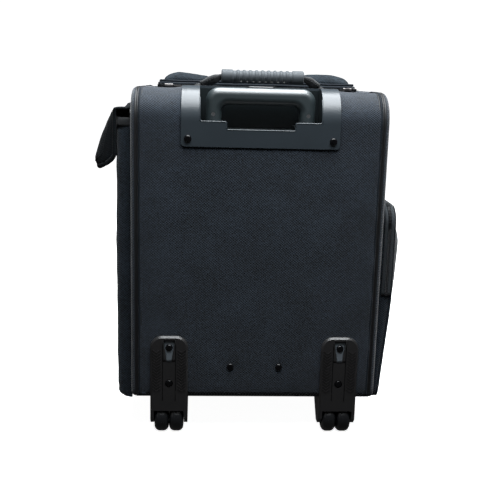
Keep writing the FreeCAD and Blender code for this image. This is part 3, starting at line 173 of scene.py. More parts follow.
def for_each(path, out):
    """An outward direction for each point of a path, from one for all of them or one each."""
    return np.broadcast_to(np.asarray(out, float), path.shape)


def ripple(points, size, seed):
    """Smooth noise at each point, from about -1 to 1, with bumps about size metres across."""
    flat = points.reshape(-1, 3) / size + seed * 17.3
    values = [noise.fractal(Vector(p), 0.6, 2.0, 3) for p in flat]
    return np.array(values).reshape(points.shape[:-1])


def smooth_step(value, low, high):
    """0 below low, 1 above high, and a smooth rise between."""
    t = np.clip((value - low) / (high - low), 0, 1)
    return t * t * (3 - 2 * t)


# ---- meshes ---------------------------------------------------------------------------------------------

def solid(name, points, faces):
    """A smooth-shaded object of these points and faces."""
    mesh = bpy.data.meshes.new(name)
    mesh.from_pydata([tuple(map(float, p)) for p in points], [], faces)
    mesh.update()
    mesh.polygons.foreach_set("use_smooth", [True] * len(mesh.polygons))
    made = bpy.data.objects.new(name, mesh)
    bpy.context.scene.collection.objects.link(made)
    return made


def lattice_faces(rows, columns, wrap=False):
    """Quads between neighbouring rows and columns of points. wrap joins the last column to the first."""
    faces = []
    for i in range(rows - 1):
        for j in range(columns if wrap else columns - 1):
            k = (j + 1) % columns
            faces.append((i * columns + j, i * columns + k, (i + 1) * columns + k, (i + 1) * columns + j))
    return faces


def lattice_out(points, towards):
    """Normals of a lattice of points, on the side of towards."""
    across, along = np.gradient(points, axis=1), np.gradient(points, axis=0)
    normals = unit(np.cross(across, along))
    if float((normals * np.asarray(towards)).sum(-1).mean()) < 0:
        normals = -normals
    return normals


def drop_loose(points, faces):
    """The points that faces use, and the faces renumbered."""
    used = sorted({i for face in faces for i in face})
    number = {old: new for new, old in enumerate(used)}
    return [points[i] for i in used], [tuple(number[i] for i in face) for face in faces]


def lattice(name, points, towards, keep=None):
    """A sheet through rows and columns of points, facing towards. keep says which cells are there."""
    rows, columns = points.shape[:2]
    faces = lattice_faces(rows, columns)
    if keep is not None:
        faces = [f for f, here in zip(faces, keep[:-1, :-1].ravel()) if here]
    across, along = points[:, 1:] - points[:, :-1], points[1:] - points[:-1]
    turn = np.cross(across[:-1], along[:, :-1])
    if float((turn * np.asarray(towards)).sum(-1).mean()) < 0:
        faces = [f[::-1] for f in faces]
    return solid(name, *drop_loose(points.reshape(-1, 3), faces))


def settled(made):
    """The object with its modifiers made part of its mesh."""
    bpy.context.view_layer.update()
    shown = made.evaluated_get(bpy.context.evaluated_depsgraph_get())
    mesh = bpy.data.meshes.new_from_object(shown)
    mesh.name = made.name
    made.modifiers.clear()
    made.data = mesh
    mesh.polygons.foreach_set("use_smooth", [True] * len(mesh.polygons))
    return made


def thick(made, depth):
    """Gives a sheet its thickness, behind its face."""
    shell = made.modifiers.new("thick", "SOLIDIFY")
    shell.thickness = depth
    shell.offset = -1
    return settled(made)


def oval(across, out, count=10):
    """A cross-section: an ellipse of these half sizes."""
    turns = np.arange(count) * 2 * math.pi / count
    return np.column_stack([np.cos(turns) * across, np.sin(turns) * out])


def band(across, out, foot=0.0):
    """A cross-section: a flat strip with rounded edges, half as wide as across, from foot up to out."""
    edge = min(0.4 * (out - foot), across * 0.3)
    half, low, high = across, foot, out
    return np.array([(-half, low), (half, low), (half, high - edge), (half - edge, high),
                     (0.3 * half, high), (-0.3 * half, high), (-half + edge, high), (-half, high - edge)])


def sweep(name, path, out, section, closed=False, scale=None):
    """A solid along path. out says which way is out, and section is given across and out."""
    path = np.asarray(path, float)
    out = for_each(path, out)
    if closed:
        tangent = np.roll(path, -1, axis=0) - np.roll(path, 1, axis=0)
    else:
        tangent = np.gradient(path, axis=0)
    side = unit(np.cross(unit(tangent), out))
    out = unit(np.cross(side, unit(tangent)))
    section = np.broadcast_to(section, (len(path), *np.shape(section)[-2:]))
    if scale is not None:
        section = section * np.asarray(scale, float).reshape(len(path), 1, -1)
    rings = (path[:, None] + side[:, None] * section[..., 0:1] + out[:, None] * section[..., 1:2])
    count, corners = rings.shape[:2]
    faces = lattice_faces(count, corners, wrap=True)
    if closed:
        last = (count - 1) * corners
        faces += [(last + j, last + (j + 1) % corners, (j + 1) % corners, j) for j in range(corners)]
    else:
        faces += [tuple(range(corners))[::-1], tuple(range((count - 1) * corners, count * corners))]
    return solid(name, rings.reshape(-1, 3), faces)


def capsule(length, radius):
    """Points and faces of a small pointed stitch, along its first axis."""
    turns = np.arange(6) * math.pi / 3
    points = [(-length / 2, 0, 0)]
    for at in (-0.32, 0.32):
        points += [(at * length, radius * math.cos(a), radius * math.sin(a)) for a in turns]
    points.append((length / 2, 0, 0))
    faces = [(0, 1 + (j + 1) % 6, 1 + j) for j in range(6)]
    faces += [(1 + j, 1 + (j + 1) % 6, 7 + (j + 1) % 6, 7 + j) for j in range(6)]
    faces += [(13, 7 + j, 7 + (j + 1) % 6) for j in range(6)]
    return np.array(points), faces


def tooth(length, width, height):
    """Points and faces of one zip tooth: a block with its top edges taken off."""
    a, b, c = length / 2, width / 2, height
    corners = ((-a, -b), (a, -b), (a, b), (-a, b))
    points = [(x, y, z) for z in (0, c * 0.6) for x, y in corners]
    points += [(x * 0.55, y * 0.8, c) for x, y in corners]
    faces = [(3, 2, 1, 0), (8, 9, 10, 11)]
    for low in (0, 4):
        faces += [(low + j, low + (j + 1) % 4, low + 4 + (j + 1) % 4, low + 4 + j) for j in range(4)]
    return np.array(points), faces


def copies(name, places, along, out, template):
    """One object made of a copy of the template at each place."""
    points, faces = template
    places, along = np.asarray(places, float), unit(np.asarray(along, float))
    out = for_each(places, out)
    side = unit(np.cross(out, along))
    out = unit(np.cross(along, side))
    made = (places[:, None] + along[:, None] * points[None, :, 0:1] + side[:, None] * points[None, :, 1:2]
            + out[:, None] * points[None, :, 2:3])
    every = [tuple(i * len(points) + j for j in face) for i in range(len(places)) for face in faces]
    return solid(name, made.reshape(-1, 3), every)


def joined(name, parts):
    """One object in place of several."""
    points, faces, start = [], [], 0
    for part in parts:
        points += [tuple(v.co) for v in part.data.vertices]
        faces += [tuple(start + i for i in p.vertices) for p in part.data.polygons]
        start = len(points)
        bpy.data.objects.remove(part)
    return solid(name, points, faces)


def carried(path, out, step):
    """Places along a path, with the outward direction at each. A turn of the direction counts as distance, so
    the places crowd together wherever the cloth turns. This is an open fault."""
    path = np.asarray(path, float)
    both = even(np.hstack([path, for_each(path, out)]), step)
    return both[:, :3], both[:, 3:]


def stitches(name, path, out, pitch=0.0042):
    """A row of stitches along a path that lies on the cloth."""
    places, outs = carried(path, out, pitch)
    radius = 0.00042
    return copies(name, places, np.gradient(places, axis=0), unit(outs), capsule(pitch * 0.74, radius))


def zip_chain(name, path, out):
    """Two rows of zip teeth that meet along a path."""
    half, height = 0.0017, 0.0011
    places, outs = carried(path, out, ZIP_PITCH / 2)
    outs = unit(outs)
    along = unit(np.gradient(places, axis=0))
    side = unit(np.cross(outs, along))
    sign = np.where(np.arange(len(places)) % 2, 1.0, -1.0)[:, None]
    places = places + side * sign * half * 0.55
    return copies(name, places, along, outs, tooth(ZIP_PITCH * 0.62, half * 1.5, height))


def finished(made, body, slot, material, *nodes):
    """Puts a piece on its body, with its material, in place of the CAD nodes that it stands for."""
    made.data.materials.clear()
    made.data.materials.append(material)
    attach(made, body)
    if nodes:
        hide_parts(*nodes)
    return made


# ---- materials ------------------------------------------------------------------------------------------

class Shade:
    """A material under construction, with short ways to add nodes to it."""

    def __init__(self, name):
        self.material = bpy.data.materials.new(name)
        self.material.use_nodes = True
        self.tree = self.material.node_tree
        self.skin = next(n for n in self.tree.nodes if n.type == "BSDF_PRINCIPLED")
        coordinates = self.add("ShaderNodeTexCoord")
        self.place, self.normal = coordinates.outputs["Object"], coordinates.outputs["Normal"]

    def add(self, kind, inputs=None, **settings):
        made = self.tree.nodes.new(kind)
        for key, value in settings.items():
            setattr(made, key, value)
        for key, value in (inputs or {}).items():
            self.feed(made.inputs[key], value)
        return made

    def feed(self, socket, value):
        if isinstance(value, bpy.types.NodeSocket):
            self.tree.links.new(value, socket)
        else:
            socket.default_value = value

    def set(self, **values):
        for key, value in values.items():
            self.feed(self.skin.inputs[key.replace("_", " ")], value)

    def math(self, operation, a, b=0.0, c=0.0):
        return self.add("ShaderNodeMath", {0: a, 1: b, 2: c}, operation=operation).outputs[0]

    def spots(self, size, detail=2.0, rough=0.5, place=None):
        """Noise from 0 to 1 with features about size metres across."""
        made = self.add("ShaderNodeTexNoise", {"Vector": place or self.place, "Scale": 1 / size,
                                               "Detail": detail, "Roughness": rough})
        return made.outputs["Fac"]

    def stretched(self, x, y, z):
        """The place, with each axis multiplied."""
        return self.add("ShaderNodeMapping", {"Vector": self.place, "Scale": (x, y, z)}).outputs[0]

    def cells(self, size):
        """Rounded cells about size metres across."""
        made = self.add("ShaderNodeTexVoronoi", {"Vector": self.place, "Scale": 1 / size}, feature="F1")
        return made.outputs["Distance"]

    def ramp(self, value, low, high, from_low=0.0, from_high=1.0):
        """A number that goes from low to high as value goes from from_low to from_high."""
        made = self.add("ShaderNodeMapRange", {0: value, 1: from_low, 2: from_high, 3: low, 4: high})
        return made.outputs[0]

    def blend(self, share, first, second):
        """A colour between two."""
        made = self.add("ShaderNodeMix", data_type="RGBA")
        self.feed(made.inputs[0], share)
        for socket, colour in ((made.inputs[6], first), (made.inputs[7], second)):
            self.feed(socket, colour if isinstance(colour, bpy.types.NodeSocket) else (*colour, 1.0))
        return made.outputs[2]

    def raised(self, height, distance):
        """Bumps of that height, from 0 to 1, where 1 is distance metres."""
        bump = self.add("ShaderNodeBump", {"Height": height, "Distance": distance, "Strength": 1.0})
        self.feed(self.skin.inputs["Normal"], bump.outputs[0])

    def threads(self):
        """Two coordinates along a cloth's threads: round the case, and up it."""
        p = self.add("ShaderNodeSeparateXYZ", {0: self.place}).outputs
        n = self.add("ShaderNodeSeparateXYZ", {0: self.normal}).outputs
        sideways = self.math("GREATER_THAN", self.math("ABSOLUTE", n[0]), 0.7)
        round_case = self.math("ADD", self.math("MULTIPLY", p[0], self.math("SUBTRACT", 1.0, sideways)),
                               self.math("MULTIPLY", p[1], sideways))
        deep = self.math("MULTIPLY", p[1], self.math("SUBTRACT", 1.0, sideways))
        return round_case, self.math("ADD", p[2], deep)

    def wave(self, value, pitch):
        """A sine of that pitch, from -1 to 1."""
        return self.math("SINE", self.math("MULTIPLY", value, 2 * math.pi / pitch))


def shade_of(colour, times):
    """A colour made lighter or darker."""
    return tuple(c * times for c in colour)


def fabric(name, colour, pitch=0.0039, speck=0.86, rough=0.8, sheen=0.2, depth=0.0006):
    """Heavy woven polyester: rows of raised knots, lighter than the gaps between, over slow changes in tone."""
    s = Shade(name)
    a, b = s.threads()
    knots = s.math("MULTIPLY", s.wave(a, pitch), s.wave(b, pitch * 0.88))
    fine = s.math("MULTIPLY", s.wave(a, pitch / 4), s.wave(b, pitch / 4))
    fleck = s.spots(pitch * 0.9, 1.5)
    slow = s.spots(0.045, 3.0)
    height = s.math("ADD", s.ramp(knots, 0.0, 0.75, -1.0, 1.0), s.ramp(fine, 0.0, 0.12, -1.0, 1.0))
    height = s.math("ADD", height, s.ramp(fleck, 0.0, 0.3))
    light = s.math("ADD", s.ramp(knots, -0.52, 0.52, -0.45, 0.45), s.ramp(fleck, -0.45, 0.45, 0.25, 0.75))
    light = s.math("ADD", light, s.ramp(slow, -0.22, 0.22, 0.3, 0.7))
    tone = s.ramp(light, 0.0, 1.0, -0.8, 0.8)
    s.set(Base_Color=s.blend(tone, shade_of(colour, 1 - speck), shade_of(colour, 1 + speck)))
    s.set(Roughness=s.ramp(height, rough + 0.12, rough - 0.12, 0.0, 1.2))
    s.set(Sheen_Weight=sheen, Sheen_Roughness=0.5, Specular_IOR_Level=0.10)
    s.raised(height, depth)
    return s.material


def webbing(name, colour, pitch=0.0026):
    """Ribbed woven strap."""
    s = Shade(name)
    a, b = s.threads()
    rib = s.wave(s.math("ADD", a, b), pitch)
    cross = s.math("MULTIPLY", s.wave(a, pitch * 0.8), s.wave(b, pitch * 0.8))
    fleck = s.spots(0.002)
    height = s.math("ADD", s.ramp(rib, 0.0, 0.5, -1.0, 1.0), s.ramp(cross, 0.0, 0.4, -1.0, 1.0))
    s.set(Base_Color=s.blend(s.math("MULTIPLY", height, fleck), shade_of(colour, 0.5), shade_of(colour, 1.9)))
    s.set(Roughness=s.ramp(fleck, 0.65, 0.9), Sheen_Weight=0.2, Specular_IOR_Level=0.4)
    s.raised(height, 0.0004)
    return s.material


def moulded(name, colour, rough=0.4, grain=0.0009, depth=0.00008, wear=0.25, specular=0.5, coat=0.0):
    """Moulded plastic with a fine pebble grain, small scuffs and uneven polish."""
    s = Shade(name)
    pebble, scuff, slow = s.cells(grain), s.spots(0.004, 6.0, 0.7), s.spots(0.05, 3.0)
    streak = s.spots(0.0016, 3.0, 0.6, s.stretched(1.0, 1.0, 0.06))
    worn = s.ramp(scuff, 0.0, 1.0, 0.62, 0.78)
    s.set(Base_Color=s.blend(s.math("ADD", s.ramp(slow, 0.1, 0.6), s.math("MULTIPLY", worn, wear)),
                             shade_of(colour, 0.8), shade_of(colour, 1.5)))
    s.set(Roughness=s.math("ADD", s.ramp(streak, rough - 0.06, rough + 0.06),
                           s.math("MULTIPLY", worn, wear * 0.4)))
    s.set(Specular_IOR_Level=specular, Coat_Weight=coat, Coat_Roughness=0.08)
    s.raised(s.math("ADD", pebble, s.math("MULTIPLY", scuff, 0.25)), depth)
    return s.material


def metal(name, colour, rough=0.28, grain=(1.0, 1.0, 0.04)):
    """Drawn or plated metal, with fine lines along its length and faint cloudiness."""
    s = Shade(name)
    lines = s.spots(0.0005, 4.0, 0.7, s.stretched(*grain))
    cloud = s.spots(0.012, 3.0)
    s.set(Base_Color=s.blend(s.math("MULTIPLY", lines, cloud), shade_of(colour, 0.72), colour), Metallic=1.0)
    s.set(Roughness=s.math("ADD", s.ramp(lines, rough - 0.08, rough + 0.1), s.ramp(cloud, -0.04, 0.06)))
    s.raised(lines, 0.00002)
    return s.material


def rubber(name, colour):
    """Soft rubber with a dusty, slightly open surface."""
    s = Shade(name)
    dust, grain = s.spots(0.006, 5.0, 0.65), s.spots(0.0007, 2.0)
    s.set(Base_Color=s.blend(dust, shade_of(colour, 0.6), shade_of(colour, 1.35)))
    s.set(Roughness=s.ramp(dust, 0.55, 0.8), Sheen_Weight=0.15, Specular_IOR_Level=0.45)
    s.raised(grain, 0.0001)
    return s.material


def thread(name, colour):
    """Twisted sewing thread."""
    s = Shade(name)
    twist = s.wave(s.math("ADD", *s.threads()), 0.0009)
    s.set(Base_Color=s.blend(s.ramp(twist, 0.0, 1.0, -1.0, 1.0), shade_of(colour, 0.7),
                             shade_of(colour, 1.3)))
    s.set(Roughness=s.ramp(twist, 0.5, 0.7, -1.0, 1.0), Specular_IOR_Level=0.5)
    return s.material


def floor_paint():
    """Pale matt floor."""
    s = Shade("floor_paint")
    soft = s.spots(0.4, 3.0)
    s.set(Base_Color=s.blend(soft, (0.90, 0.90, 0.90), (0.94, 0.94, 0.94)), Roughness=0.9,
          Specular_IOR_Level=0.1)
    s.set(Emission_Color=(1, 1, 1, 1), Emission_Strength=0.97)
    return s.material


COVER = fabric("cover_cloth", (0.0115, 0.0170, 0.0250), speck=0.70, sheen=0.38)
POCKET = fabric("pocket_cloth", (0.0125, 0.0185, 0.0260), pitch=0.0037)
LID = fabric("lid_cloth", (0.0095, 0.0145, 0.0195), pitch=0.0037, sheen=0.06)
# Near-black, far darker than the pocket and cover cloths, to stand for the shade on the flap, which faces away
# from the lights: painted shade.
FLAP_SHADE_CLOTH = fabric("flap_cloth", (0.0030, 0.0046, 0.0062), pitch=0.0037, rough=0.7, sheen=0.05)
LINING = fabric("lining_cloth", (0.040, 0.043, 0.048), pitch=0.0022, speck=0.25, rough=0.85, depth=0.00015)
WEBBING = webbing("strap_webbing", (0.0085, 0.0098, 0.0115))
TAPE = webbing("zip_tape_cloth", (0.0070, 0.0080, 0.0092), pitch=0.0013)
SIDE_TAPE = webbing("side_zip_cloth", (0.0150, 0.0215, 0.0270), pitch=0.0016)
PIPING = fabric("piping_cloth", (0.0085, 0.0120, 0.0165), pitch=0.0020, speck=0.4, rough=0.7, sheen=0.05,
                depth=0.0001)
THREAD = thread("seam_thread", (0.0036, 0.0046, 0.0058))
SHADOW = thread("seam_shadow", (0.0016, 0.0020, 0.0028))
# Pale grey, for dots on the handle's grip that stand for bright spots of light between its ribs: painted light.
PAINTED_LIGHT_DOTS = thread("painted_light_dots", (0.30, 0.30, 0.30))
TEETH = moulded("zip_teeth", (0.012, 0.013, 0.015), rough=0.32, grain=0.0004, depth=0.00002)
BEZEL = moulded("bezel_abs", (0.0250, 0.0325, 0.0390), rough=0.34, grain=0.0011, depth=0.00005, wear=0.12)
CUP = moulded("cup_abs", (0.0050, 0.0085, 0.0098), rough=0.38, grain=0.0009, depth=0.00006)
HOUSING = moulded("housing_nylon", (0.0175, 0.0168, 0.0172), rough=0.38, grain=0.0008, depth=0.00008,
                  wear=0.5)
# Far lighter than the housing: the caster ramp's tongue carries a painted highlight.
TONGUE_HIGHLIGHT = moulded("housing_painted_highlight", (0.085, 0.098, 0.110), rough=0.36, grain=0.0008, depth=0.00004, wear=0.3)
# Near-black: strips down the caster plates that stand for the shade in their grooves, painted shade.
GROOVE_SHADE = moulded("housing_groove_shade", (0.0020, 0.0020, 0.0022), rough=0.6, specular=0.2)
FOOT = moulded("foot_nylon", (0.008, 0.008, 0.0088), rough=0.5, wear=0.5)
GRIP = moulded("grip_gloss", (0.0170, 0.0260, 0.0290), rough=0.42, grain=0.002, depth=0.00001, wear=0.1,
               specular=0.9, coat=0.3)
BUTTON = moulded("button_gloss", (0.008, 0.009, 0.010), rough=0.25, grain=0.001, depth=0.00002, wear=0.1)
PLUG = moulded("plug_nylon", (0.012, 0.012, 0.013), rough=0.45)
WHEEL = moulded("wheel_tread", (0.0055, 0.0060, 0.0070), rough=0.24, grain=0.0016, depth=0.00003, wear=0.4,
                coat=0.8)
TUBE = metal("tube_aluminium", (0.60, 0.61, 0.63), rough=0.3)
STEEL = metal("zinc_steel", (0.52, 0.52, 0.53), rough=0.32, grain=(0.2, 1.0, 1.0))
SCREW = metal("grip_screw_steel", (0.62, 0.63, 0.65), rough=0.3, grain=(1.0, 0.2, 1.0))
RIVET = moulded("rivet_enamel", (0.0022, 0.0022, 0.0028), rough=0.22, grain=0.003, depth=0.00001, wear=0.1,
                specular=0.35)
NICKEL = metal("nickel_plate", (0.25, 0.235, 0.23), rough=0.38, grain=(0.2, 0.2, 1.0))
RUBBER = rubber("grip_rubber", (0.040, 0.048, 0.055))

NODE_MATERIALS = {
    LINING: ["back_board", "front_board", "left_board", "right_board", "base_board", "inner_wall",
             "lid_board"],
    BEZEL: ["trolley_bezel"],
    CUP: ["trolley_cup", "tube_bracket"],
    TUBE: ["outer_tubes", "middle_tubes", "inner_tubes"],
    PLUG: ["middle_collars", "middle_plugs", "lock_plugs"],
    STEEL: ["lock_pins", "wheel_axles", "foot_screws", "push_rods"],
    SCREW: ["grip_screws"],
    GRIP: ["grip_back_shell", "grip_front_shell"],
    BUTTON: ["release_button"],
    RIVET: ["panel_rivets"],
    HOUSING: ["caster_left", "caster_right"],
    WHEEL: ["wheel_left_outer", "wheel_left_inner", "wheel_right_outer", "wheel_right_inner"],
    FOOT: ["front_feet"],
    NICKEL: ["lid_slider_left", "lid_pull_left", "lid_slider_right", "lid_pull_right", "side_slider",
             "side_pull",
             "front_slider", "front_pull"],
}
for finish, names in NODE_MATERIALS.items():
    for node in names:
        for place in frame["nodes"][node].material_slots:
            place.material = finish


# ---- the case's panels ------------------------------------------------------------------------------------

def near_line(value, at, reach):
    """1 at a line, falling away over reach."""
    return np.exp(-((value - at) / reach) ** 2)


def seam_fall(distance, reach=0.007):
    """How far cloth falls below its own height, near a seam that far away."""
    return np.exp(-np.maximum(distance, 0) / reach)


def seam_columns(count):
    """Places across a panel, closer together beside its two seams."""
    side = np.array([0.1502, 0.1530, 0.1552, 0.1568, 0.1579, 0.1587, 0.1595, 0.1606])
    middle = np.linspace(-0.147, 0.147, count)
    return np.concatenate([-side[::-1], middle, side])


def path_lattice(path, xs):
    """Points of a panel that follows a side-view path, over a range of x."""
    rows = np.repeat(path[:, None, :], len(xs), axis=1)
    return np.concatenate([np.broadcast_to(xs[None, :, None], (*rows.shape[:2], 1)), rows], axis=2)


RIVET_DIMPLES = [(-0.033, 0.097), (0.033, 0.097)]


def rolled(corners, count):
    """A panel along a side-view path whose last edge turns in: its points, outward directions and distances."""
    path = filleted(corners)
    path = np.vstack([even(path[:-1], STEP), path[-1:]])
    xs = seam_columns(count)
    out = np.repeat(facing(path)[:, None, :], len(xs), axis=1)
    return path_lattice(path, xs), out, run_along(path)[:, None]


def back_panel():
    """The panel that rolls over the top behind the mouth, with a hole under the bezel for the trolley cup."""
    points, out, along = rolled([(BACK, PANEL_FOOT - 0.002, 0), (BACK, TOP, ROLL), (MOUTH_REAR, TOP, 0),
                                 (MOUTH_REAR + 0.0006, TOP - 0.006, 0)], 79)
    x, z = points[..., 0], points[..., 2]
    rise = 0.0011 - 0.0012 * seam_fall(SEAM - np.abs(x)) - 0.0026 * seam_fall(SEAM - 0.0012 - np.abs(x),
                                                                              0.0016)
    rise = rise - 0.0012 * seam_fall(along)
    rise = rise - 0.0012 * seam_fall(along[-1] - along)
    flat = points.copy()
    flat[..., 1] = 0
    rise = rise + 0.0007 * ripple(flat, 0.13, 1) + 0.00022 * ripple(flat, 0.03, 2)
    puckers = np.sin(along / 0.0095 + 2 * ripple(flat, 0.05, 3)) * seam_fall(SEAM - np.abs(x), 0.010)
    rise = rise + 0.00035 * puckers
    for rx, rz in RIVET_DIMPLES:
        rise = rise - 0.0012 * np.exp(-((x - rx) ** 2 + (z - rz) ** 2) / 0.008 ** 2)
    near_top = smooth_step(z, 0.440, 0.466)
    rise = rise - 0.0018 * near_top * smooth_step(np.abs(x), 0.100, 0.118) * (1 - seam_fall(SEAM - np.abs(x)))
    under = (np.abs(x) < 0.106) & (points[..., 1] < -0.070) & (z > 0.390)
    rise = np.where(under, np.minimum(rise, 0.0004), rise)
    points = points + out * rise[..., None]
    hole = (np.abs(x) < 0.088) & (z > 0.409) & (points[..., 1] < -0.0775)
    made = thick(lattice("back_cover_cloth", points, (0, -1, 0.5), ~hole), CLOTH)
    finished(made, "case", "cover_fabric", COVER, "back_cover")


def front_panel():
    """The panel that rises in front and rolls over to the mouth's front edge."""
    points, inward, along = rolled([(FRONT, PANEL_FOOT - 0.002, 0), (FRONT, TOP, BROW), (MOUTH_FRONT, TOP, 0),
                                    (MOUTH_FRONT - 0.0006, TOP - 0.006, 0)], 73)
    x = points[..., 0]
    rise = 0.0008 - 0.0010 * seam_fall(SEAM - np.abs(x)) - 0.0024 * seam_fall(SEAM - 0.0012 - np.abs(x),
                                                                              0.0016)
    rise = rise - 0.0010 * seam_fall(along)
    rise = rise - 0.0010 * seam_fall(along[-1] - along)
    rise = rise + 0.0005 * ripple(points, 0.11, 5) + 0.0002 * ripple(points, 0.03, 6)
    rise = np.where(along > 0.36, np.minimum(rise, 0.0003), rise)
    rise = rise - 0.0012 * smooth_step(points[..., 2], 0.450, 0.466) * smooth_step(np.abs(x), 0.090, 0.120)
    points = points - inward * rise[..., None]
    made = thick(lattice("front_cover_cloth", points, (0, 1, 0.5)), CLOTH)
    finished(made, "case", "cover_fabric", COVER, "front_cover")


def base_panel():
    """The underside, with its turned-up edges."""
    path = filleted([(BACK, PANEL_FOOT + 0.001, 0), (BACK, BASE, KEEL), (FRONT, BASE, KEEL),
                     (FRONT, PANEL_FOOT + 0.001, 0)])
    path = even(path, 0.0045)
    xs = np.linspace(-SEAM, SEAM, 61)
    points = path_lattice(path, xs)
    rise = -0.0010 * seam_fall(SEAM - np.abs(points[..., 0])) + 0.0003 * ripple(points, 0.05, 8)
    middle = smooth_step(np.minimum(points[..., 1] - BACK, FRONT - points[..., 1]), 0.004, 0.02)
    points[..., 2] -= np.clip(rise, -0.001, 0.0004) * middle
    made = thick(lattice("base_cover_cloth", points, (0, 0, -1)), THIN_CLOTH)
    finished(made, "case", "cover_fabric", COVER, "base_cover")


def rounded_square(s, t, half, radii):
    """Where square coordinates s and t, from -1 to 1, fall inside a rectangle with rounded corners."""
    (a, b), ring = half, np.maximum(np.abs(s), np.abs(t))
    p, q = s * a, t * b
    low_low, high_low, high_high, low_high = radii
    radius = np.where(t > 0, np.where(s > 0, high_high, low_high), np.where(s > 0, high_low, low_low)) * ring
    over_p, over_q = np.abs(p) - (a * ring - radius), np.abs(q) - (b * ring - radius)
    corner = (over_p > 0) & (over_q > 0)
    size = np.maximum(np.hypot(over_p, over_q), 1e-12)
    p = np.where(corner, np.sign(p) * (a * ring - radius + radius * over_p / size), p)
    q = np.where(corner, np.sign(q) * (b * ring - radius + radius * over_q / size), q)
    return p, q


def edge_order(rows, columns):
    """The numbers of a lattice's outer points, in order round it."""
    order = list(range(columns))
    order += [i * columns + columns - 1 for i in range(1, rows)]
    order += [(rows - 1) * columns + j for j in range(columns - 2, -1, -1)]
    order += [i * columns for i in range(rows - 2, 0, -1)]
    return order


def pillow(name, centre, half, radii, rims, lift, shape, step):
    """A panel with shaped edges. rims are (inset, height) from its outline inward, the last at the face's
    edge. lift gives the face's height at plane coordinates, and shape turns those and a height into points."""
    inset, edge_height = rims[-1]
    a, b = half[0] - inset, half[1] - inset
    columns, rows = max(9, int(2 * a / step)), max(9, int(2 * b / step))
    s, t = np.meshgrid(np.linspace(-1, 1, columns), np.linspace(-1, 1, rows))
    inner = tuple(max(r - inset, 0.0012) for r in radii)
    p, q = rounded_square(s, t, (a, b), inner)
    p, q = p + centre[0], q + centre[1]
    face = shape(p, q, edge_height + lift(p, q, s, t))
    order = edge_order(rows, columns)
    points, faces = [face.reshape(-1, 3)], lattice_faces(rows, columns)
    start, previous = rows * columns, order
    edge_s, edge_t = s.ravel()[order], t.ravel()[order]
    for inset, height in reversed(rims[:-1]):
        radii_here = tuple(max(r - inset, 0.0012) for r in radii)
        rim_p, rim_q = rounded_square(edge_s, edge_t, (half[0] - inset, half[1] - inset), radii_here)
        rim_p, rim_q = rim_p + centre[0], rim_q + centre[1]
        full = lift(rim_p, rim_q, edge_s, edge_t) * (height / edge_height if edge_height else 1)
        points.append(shape(rim_p, rim_q, height + full))
        ring = [start + k for k in range(len(order))]
        faces += [(previous[k], ring[k], ring[(k + 1) % len(ring)], previous[(k + 1) % len(ring)])
                  for k in range(len(ring))]
        start, previous = start + len(order), ring
    every = np.vstack(points)
    made = solid(name, every, faces)
    middle = faces[(rows // 2) * (columns - 1) + columns // 2]
    turn = np.cross(every[middle[1]] - every[middle[0]], every[middle[3]] - every[middle[0]])
    outward = shape(np.array([centre[0]]), np.array([centre[1]]), np.array([1.0]))
    outward = outward - shape(np.array([centre[0]]), np.array([centre[1]]), np.array([0.0]))
    if float((turn * outward).sum()) < 0:
        made.data.flip_normals()
    return made


def side_panel(sign):
    """A side, its edges turned in to the piped seams, and the strip that it makes beside the mouth."""
    label = "left" if sign < 0 else "right"
    centre, half = rectangle(BACK, FRONT, BASE, TOP)
    rims = [(0.0012, 0.0)] + [(0.007 * (1 - math.cos(t)), 0.007 * math.sin(t))
                              for t in np.linspace(0.12, 1.0, 7) * math.pi / 2]

    def lift(p, q, s, t):
        edge = 1 - np.maximum(np.abs(s), np.abs(t))
        plane = np.stack([np.full_like(p, sign * SIDE), p, q], axis=-1)
        wavy = 0.0006 * ripple(plane, 0.12, 10 + sign) + 0.0002 * ripple(plane, 0.03, 12)
        return wavy * smooth_step(edge, 0.0, 0.12)

    def shape(p, q, height):
        return np.stack([sign * (SEAM + height), p, q], axis=-1)

    made = pillow(f"{label}_side_cloth", centre, half, (KEEL, KEEL, BROW, ROLL), rims, lift, shape, 0.006)
    made = thick(made, THIN_CLOTH)
    finished(made, "case", "cover_fabric", COVER, f"{label}_cover")
    ys = np.linspace(MOUTH_REAR - 0.002, MOUTH_FRONT + 0.002, 34)
    xs = np.array([*np.linspace(SEAM + 0.0012, MOUTH_X + 0.001, 10), MOUTH_X, MOUTH_X - 0.0003,
                   MOUTH_X - 0.0005])
    drop = np.array([0.0] * 9 + [0.0001, 0.0008, 0.0035, 0.0065])
    points = np.zeros((len(ys), len(xs), 3))
    points[..., 0] = sign * xs[None, :]
    points[..., 1] = ys[:, None]
    points[..., 2] = TOP - drop[None, :] - 0.0008
    strip = thick(lattice(f"{label}_brim_cloth", points, (0, 0, 1)), THIN_CLOTH)
    finished(strip, "case", "cover_fabric", COVER)


